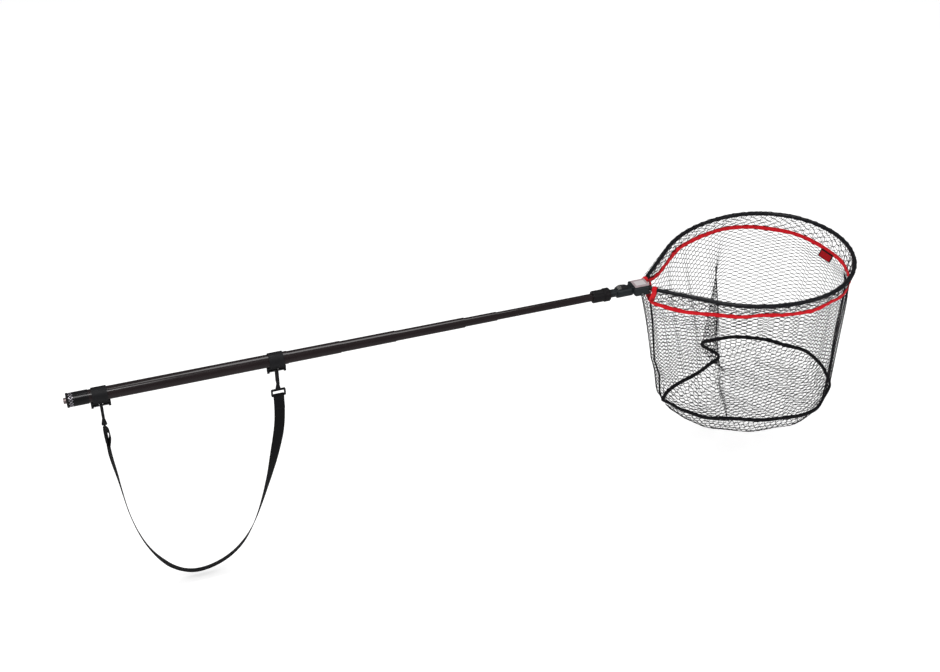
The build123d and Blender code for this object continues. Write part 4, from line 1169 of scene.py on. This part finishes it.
class LANDINGNET_OT_net_floor(bpy.types.Operator):
    """Knot the netting of the bag's dished floor"""
    bl_idname = "landingnet.net_floor"
    bl_label = "Net floor"

    def execute(self, context):
        size = sizes()
        reach = 24
        skew = math.radians(9)
        centre = Vector((1.42, 0.02))
        draw = random.Random(size.seed + 1)
        flat, ends, joints = [], {}, []
        for column in range(-reach, reach + 1):
            for row in range(-reach, reach + 1):
                both = []
                for side in (-1, 1):
                    u = column * size.cell_width + side * size.joint_length / 2
                    v = (row + lag(column)) * size.cell_height
                    u += draw.uniform(-1, 1) * 0.0004
                    both.append((centre.x + u * math.cos(skew) - v * math.sin(skew),
                                 centre.y + u * math.sin(skew) + v * math.cos(skew)))
                    ends[column, row, side] = len(flat)
                    flat.append(both[-1])
                if in_floor(both[0]) and in_floor(both[1]):
                    joints.append((column, row))
        strand_edges = []
        for column in range(-reach, reach):
            for row in range(1 - reach, reach):
                for step in next_rows(column):
                    a, b = ends[column, row, 1], ends[column + 1, row + step, -1]
                    in_a, in_b = in_floor(flat[a]), in_floor(flat[b])
                    if not in_a and not in_b:
                        continue
                    if in_a != in_b:
                        good, bad = (a, b) if in_a else (b, a)
                        flat.append(cut_at_edge(flat[good], flat[bad]))
                        a, b = good, len(flat) - 1
                    strand_edges.append((a, b))
        used = sorted({i for pair in strand_edges for i in pair}
                      | {ends[(*joint, side)] for joint in joints for side in (-1, 1)})
        index = {old: new for new, old in enumerate(used)}
        verts = [belly_point(flat[i]) for i in used]
        strand_edges = [(index[a], index[b]) for a, b in strand_edges]
        ends = {key: index[i] for key, i in ends.items() if i in index}
        mesh = netting("net_floor_mesh", verts, ends, joints, strand_edges, yarn_finish())
        crumple(new_object("net_floor_mesh", mesh, "head", replaces=["net_floor"]))
        return {"FINISHED"}


def bunched_strip(name, spots, sides, widths):
    """A strip of netting squeezed sideways along a line of spots. Widths are in mm."""
    rows, half_joint = 4, 0.0026
    draw = random.Random(sizes().seed + 5)
    ahead = headings(spots)

    def place(column, row, way):
        across = ((row + lag(column)) / rows - 0.5) * (0.001 * widths[column])
        lift = Vector((0, 0, draw.uniform(-0.001, 0.003)))
        return spots[column] + sides[column] * across + ahead[column] * (way * half_joint) + lift

    return netting(name, *cells(range(len(spots)), rows, place), yarn_finish(), 0.6)


class LANDINGNET_OT_net_pleats(bpy.types.Operator):
    """Bunch the netting in the fold of the far wall and across the floor"""
    bl_idname = "landingnet.net_pleats"
    bl_label = "Net pleats"

    def execute(self, context):
        shares, widths = zip(*WALL_PLEAT)
        steps = np.linspace(shares[0], shares[-1], 32)
        proud = Vector((0, -0.002, 0))
        spots = [wall_point(FOLD_TURN + 0.006 * share ** 3, share) + proud for share in steps]
        sides = [(wall_point(FOLD_TURN - 0.01, share) - wall_point(FOLD_TURN + 0.01, share)).normalized()
                 for share in steps]
        wall = bunched_strip("wall_pleat", spots, sides, np.interp(steps, shares, widths))
        shares, widths = zip(*FLOOR_PLEAT)
        steps = np.linspace(0, 1, 20)
        start, end = FLOOR_FOLD
        side = Vector((start.y - end.y, end.x - start.x, 0)).normalized()
        spots = [belly_point(start.lerp(end, share)) + Vector((0, 0, 0.003)) for share in steps]
        floor = bunched_strip("floor_pleat", spots, [side] * len(steps), np.interp(steps, shares, widths))
        crumple(new_object("net_pleats", joined("net_pleats", [wall, floor]), "head"))
        return {"FINISHED"}


class LANDINGNET_OT_hoop_lacing(bpy.types.Operator):
    """Cover the hoop in a sleeve of its own netting"""
    bl_idname = "landingnet.hoop_lacing"
    bl_label = "Hoop sleeve"

    def execute(self, context):
        size = sizes()
        columns, rows = hoop_columns(size.lacing_pitch), 4
        draw = random.Random(size.seed + 3)
        # Bare share of the hoop beside the yoke, and half a joint's share of it.
        bare, half = 0.020, 0.0026 / TOP.length()

        def place(column, row, side):
            turn = bare + (1 - 2 * bare) * column / columns + side * half
            here, ahead = TOP.at(turn), TOP.at(turn + 0.002) - TOP.at(turn - 0.002)
            out = Vector((ahead.y, -ahead.x, 0)).normalized()
            # The netting is drawn tight round the hoop and hangs looser on its arms.
            slack = 0.0002 + 0.0011 * draw.random() + 0.0030 * max(0.0, 1 - min(turn, 1 - turn) / 0.12)
            angle = 2 * math.pi * (row + lag(column)) / rows + draw.uniform(-0.25, 0.25)
            reach = HOOP_RADIUS + slack
            return (Vector((here.x, here.y, hoop_z(here.x))) + out * math.cos(angle) * reach
                    + Vector((0, 0, math.sin(angle) * reach)))

        # The sleeve's yarn is painted 2.5 times paler, a painted highlight along the hoop.
        mesh = netting("hoop_lacing", *cells(range(columns + 1), rows, place, ring=True),
                       netting_finish("Rubbed netting yarn", 2.5), 0.6)
        new_object("hoop_lacing", mesh, "head")
        return {"FINISHED"}


# ------------------------------------------------------------------ operators: tapes
def band_on_wall(share, last_turn=1.0, count=420, closed=True, wave=0.0):
    """Centres, down and outward directions of a band that follows the wall at a share of its depth."""
    centres, across, through = [], [], []
    for i in range(count):
        turn = last_turn * i / (count if closed else count - 1)
        here = wall_point(turn, share)
        ahead = wall_point(turn + 0.002, share) - wall_point(turn - 0.002, share)
        above, below = wall_point(turn, max(0, share - 0.01)), wall_point(turn, min(1, share + 0.01))
        down = (below - above).normalized()
        out = ahead.cross(down).normalized()
        roll = 0.25 * round_wave(13, turn) * wave
        down = (down + out * roll).normalized()
        centres.append(here + Vector((0, 0, wave * 0.0015 * round_wave(11, turn))))
        across.append(down)
        through.append(ahead.cross(down).normalized())
    return centres, across, through


def sewn_band(names, line, width, thickness, band, thread, covers, closed=False):
    """A band and the rows of stitches near both its edges, on both of its faces."""
    band_name, stitches_name = names
    margin = 0.0016
    rows = [stitch_row(stitches_name, *line, side * (width / 2 - margin), face * thickness / 2, thread)
            for side in (-1, 1) for face in (-1, 1)]
    mesh = ribbon_mesh(band_name, *line, width, thickness, closed=closed)
    crumple(new_object(band_name, mesh, "head", band, covers))
    crumple(new_object(stitches_name, joined(stitches_name, rows), "head"))


class LANDINGNET_OT_rim_tape(bpy.types.Operator):
    """Fold the red tape over the netting, all round under the hoop"""
    bl_idname = "landingnet.rim_tape"
    bl_label = "Rim tape"

    def execute(self, context):
        centres, across, through = band_on_wall(TAPE_SHARE, TAPE_END_TURN, closed=False, wave=0.5)
        # Beside the yoke the tape leaves the wall and runs up to the far arm.
        tail = smooth_path([centres[-1], *(Vector(p) for p in TAPE_TAIL)], 8)[1:]
        for spot, ahead in zip(tail, headings(tail)):
            down = across[-1].lerp(Vector((0.3, 0.2, -1)), 0.3)
            across.append((down - ahead * down.dot(ahead)).normalized())
            through.append(ahead.cross(across[-1]).normalized())
            centres.append(spot)
        thread = cloth("Red tape thread", (0.35, 0.01, 0.02), 0.0005, 0.0005)
        sewn_band(("rim_tape_band", "rim_tape_stitches"), (centres, across, through),
                  sizes().tape_height, sizes().tape_thickness, red_tape_finish(), thread,
                  ["rim_tape"])
        return {"FINISHED"}


class LANDINGNET_OT_bindings(bpy.types.Operator):
    """Bind the floor's edge and the handle's seam in black tape"""
    bl_idname = "landingnet.bindings"
    bl_label = "Bindings"

    def execute(self, context):
        floor_thickness, seam_width, seam_thickness, seam_steps = 0.0056, 0.0062, 0.0032, 60
        black = cloth("Black binding", (0.008, 0.008, 0.010), 0.0011, 0.0009, depth=0.0003)
        thread = cloth("Black binding thread", (0.02, 0.02, 0.024), 0.0005, 0.0005)
        sewn_band(("floor_binding_band", "floor_binding_stitches"), band_on_wall(1.0, count=520, wave=0.3),
                  sizes().binding_height, floor_thickness, black, thread, ["floor_binding"],
                  closed=True)
        shares = [TAPE_SHARE + (1 - TAPE_SHARE) * i / (seam_steps - 1) for i in range(seam_steps)]
        mesh = ribbon_mesh("side_binding_band", [wall_point(0.0, share) for share in shares],
                           [Vector((0, 1, 0))] * seam_steps, [Vector((-1, 0, 0))] * seam_steps,
                           seam_width, seam_thickness)
        crumple(new_object("side_binding_band", mesh, "head", black, ["side_binding"]))
        return {"FINISHED"}


class LANDINGNET_OT_arm_loops(bpy.types.Operator):
    """Loop red tape over the hoop's arms, beside the yoke"""
    bl_idname = "landingnet.arm_loops"
    bl_label = "Arm loops"

    def execute(self, context):
        red = red_tape_finish()
        thin, arc_steps = 0.0013, 12
        round_arm = HOOP_RADIUS + 0.0022
        seam = wall_point(0.0, TAPE_SHARE)
        # Each loop's side of the yoke, how far along the arm it sits, and the CAD loops it stands for.
        for name, side, reach, covers in (("front", -1, 0.0145, ["arm_loops"]), ("back", 1, 0.0068, [])):
            arm = Vector((math.cos(ARM_ANGLE), side * math.sin(ARM_ANGLE), 0))
            on_arm = Vector((ARM_EXIT.x, side * ARM_EXIT.y, 0)) + arm * reach
            on_arm.z = hoop_z(on_arm.x)
            out = Vector((-arm.y, arm.x, 0)) * side
            foot = seam + Vector((0.001, side * 0.003, 0.001))
            angles = [math.pi * (1 - step / arc_steps) for step in range(arc_steps + 1)]
            over = [on_arm + out * (round_arm * math.cos(a)) + Vector((0, 0, round_arm * math.sin(a)))
                    for a in angles]
            # The part over the arm keeps its shape; the two legs get meshes of their own, as the bag's
            # pieces do.
            parts = {"arm_loop": over}
            for leg, way in (("inner_leg", -1), ("outer_leg", 1)):
                top = on_arm + out * (way * round_arm)
                end = foot + out * (way * 0.0012)
                parts[leg] = smooth_path([top, top + Vector((0, 0, -0.006)), end], 8)
            for part, line in parts.items():
                forward = headings(line)
                across = [(arm - f * arm.dot(f)).normalized() for f in forward]
                mesh = ribbon_mesh(f"{name}_{part}", line, across,
                                   [f.cross(a).normalized() for f, a in zip(forward, across)],
                                   sizes().tape_height, thin)
                if part == "arm_loop":
                    new_object(f"{name}_{part}", mesh, "head", red, covers)
                else:
                    crumple(new_object(f"{name}_{part}", mesh, "head", red))
        return {"FINISHED"}


class LANDINGNET_OT_label(bpy.types.Operator):
    """Hang the bare label tab inside the far wall"""
    bl_idname = "landingnet.label"
    bl_label = "Label tab"

    def execute(self, context):
        low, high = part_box("label_tab")
        width, height, steps, hem_steps = 0.041, high.z - low.z, 24, 10
        middle = wall_point(LABEL_TURN, TAPE_SHARE)
        hem = middle.z - sizes().tape_height / 2 + 0.0015
        spot = Vector((middle.x - END_X, middle.y, 0)).normalized()
        along = Vector((-spot.y, spot.x, 0))
        red = cloth("Label cloth", shaded(colours().tape, 0.55), 0.0007, 0.0007, depth=0.00015)
        black = cloth("Label edge", (0.008, 0.008, 0.01), 0.0007, 0.0007, depth=0.00015)
        line = []
        for i in range(steps):
            share = i / (steps - 1)
            drop = Vector((0, 0, hem - share * height))
            line.append(Vector((middle.x, middle.y, 0)) + drop - spot * (0.009 * share ** 1.5 + 0.003))
        flat = ribbon_mesh("label_tab_cloth", line, [along] * steps, [-spot] * steps, width, 0.0011)
        crumple(new_object("label_tab_cloth", flat, "head", red, ["label_tab"]))
        hem_places = np.linspace(-width / 2, width / 2, hem_steps)
        # Centres, direction of the width, width and thickness of each black edge.
        edges = [([p + along * side * width / 2 for p in line], along, 0.0036, 0.0022) for side in (-1, 1)]
        top = line[0] - Vector((0, 0, 0.002))
        edges.append(([top + along * s for s in hem_places], UP, 0.0055, 0.0022))
        edges.append(([line[-1] + along * s for s in hem_places], UP, 0.0016, 0.0018))
        meshes = [ribbon_mesh("edge", centres, [across] * len(centres), [-spot] * len(centres), wide, thick)
                  for centres, across, wide, thick in edges]
        crumple(new_object("label_tab_edge", joined("label_tab_edge", meshes), "head", black))
        return {"FINISHED"}


# ------------------------------------------------------------------ operator: stage
# What the lamps point at, and each lamp's name, place, size and power in watts.
AIM = Vector((0.66, 0, -0.04))
LAMPS = [
    ("key_light", Vector((-0.6, -1.6, 2.9)), 1.4, 30),
    ("top_light", Vector((0.9, 0.6, 3.2)), 1.6, 24),
    ("fill_light", Vector((3.0, -2.2, 1.6)), 1.6, 8),
]
CAMERA_PLACE = Vector((-0.3107, -2.7441, 1.9449))
CAMERA_AHEAD = Vector((0.2754, 0.7787, -0.5637))


def aimed(name, data, place, ahead):
    """Put a lamp or camera in the scene, looking ahead."""
    holder = bpy.data.objects.new(name, data)
    bpy.context.scene.collection.objects.link(holder)
    holder.location = place
    holder.rotation_euler = ahead.to_track_quat("-Z", "Y").to_euler()
    return holder


def floor_finish():
    """Pale floor with a little light of its own, which keeps it white where the lamps fall off."""
    material, tree, shader, coords = blank_material(
        "Studio floor", Roughness=0.9, Emission_Color=(1, 1, 1, 1))
    noise = put(tree, "ShaderNodeTexNoise", {"Vector": coords["Object"], "Scale": 0.8})
    pale = mix_colour(tree, noise.outputs[0], (0.93, 0.93, 0.93, 1), (0.96, 0.96, 0.96, 1))
    glossy = tree.nodes.new("ShaderNodeLightPath").outputs["Is Glossy Ray"]
    tree.links.new(mix_colour(tree, glossy, pale, (0.2, 0.2, 0.2, 1)), shader.inputs["Base Color"])
    tree.links.new(remap(tree, glossy, 0.42, 0.0), shader.inputs["Emission Strength"])
    return material


class LANDINGNET_OT_stage(bpy.types.Operator):
    """Set the pale floor, the soft lights and the camera"""
    bl_idname = "landingnet.stage"
    bl_label = "Stage"

    def execute(self, context):
        scene = context.scene
        half, floor_z = 14.0, CAD_BOX[0].z - 0.02
        corners = [(-half, -half), (half, -half), (half, half), (-half, half)]
        mesh = mesh_from("studio_floor", [(x, y, floor_z) for x, y in corners], [(0, 1, 2, 3)])
        floor = bpy.data.objects.new("studio_floor", mesh)
        scene.collection.objects.link(floor)
        floor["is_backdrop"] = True
        floor.data.materials.append(floor_finish())
        world = bpy.data.worlds.new("Studio")
        world.use_nodes = True
        sky = world.node_tree
        backdrop = sky.nodes["Background"].inputs
        backdrop["Color"].default_value = (1, 1, 1, 1)
        # Reflections see a dimmer room than the floor does, as black flags round a product table give,
        # and the backdrop itself is white.
        rays = sky.nodes.new("ShaderNodeLightPath").outputs
        room = remap(sky, rays["Is Glossy Ray"], 0.55, 0.08)
        sky.links.new(math_node(sky, "MAXIMUM", room, rays["Is Camera Ray"]), backdrop["Strength"])
        scene.world = world
        for name, place, size, power in LAMPS:
            light = bpy.data.lights.new(name, "AREA")
            light.energy, light.size = power, size
            aimed(name, light, place, AIM - place)
        camera = bpy.data.cameras.new("camera")
        camera.sensor_width, camera.lens = 36.0, 57.45
        camera.clip_start, camera.clip_end = 0.05, 60
        scene.camera = aimed("camera", camera, CAMERA_PLACE, CAMERA_AHEAD)
        scene.view_settings.view_transform = "Standard"
        return {"FINISHED"}


# ------------------------------------------------------------------ panel and registration
STEPS = (
    LANDINGNET_OT_stage,
    LANDINGNET_OT_strap,
    LANDINGNET_OT_pole,
    LANDINGNET_OT_head,
    LANDINGNET_OT_foot_pads,
    LANDINGNET_OT_hooks,
    LANDINGNET_OT_net_wall,
    LANDINGNET_OT_net_collar,
    LANDINGNET_OT_net_floor,
    LANDINGNET_OT_net_pleats,
    LANDINGNET_OT_hoop_lacing,
    LANDINGNET_OT_rim_tape,
    LANDINGNET_OT_bindings,
    LANDINGNET_OT_arm_loops,
    LANDINGNET_OT_label,
)


class LANDINGNET_PT_panel(bpy.types.Panel):
    bl_idname = "LANDINGNET_PT_panel"
    bl_label = "Landing net"
    bl_space_type = "VIEW_3D"
    bl_region_type = "UI"
    bl_category = "Landing net"

    def draw(self, context):
        for group in (context.scene.landing_net_sizes, context.scene.landing_net_colours):
            for name in group.bl_rna.properties.keys():
                if name not in ("rna_type", "name"):
                    self.layout.prop(group, name)
        for step in STEPS:
            self.layout.operator(step.bl_idname)


CLASSES = (LandingNetSizes, LandingNetColours, *STEPS, LANDINGNET_PT_panel)


def register():
    for item in CLASSES:
        bpy.utils.register_class(item)
    bpy.types.Scene.landing_net_sizes = PointerProperty(type=LandingNetSizes)
    bpy.types.Scene.landing_net_colours = PointerProperty(type=LandingNetColours)


def unregister():
    del bpy.types.Scene.landing_net_colours
    del bpy.types.Scene.landing_net_sizes
    for item in reversed(CLASSES):
        bpy.utils.unregister_class(item)


def main():
    register()
    for step in STEPS:
        group, name = step.bl_idname.split(".")
        getattr(getattr(bpy.ops, group), name)()
    boxes = {"cad": CAD_BOX, "visual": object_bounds()}
    {key: [list(corner) for corner in box] for key, box in boxes.items()}


if __name__ == "__main__":
    main()
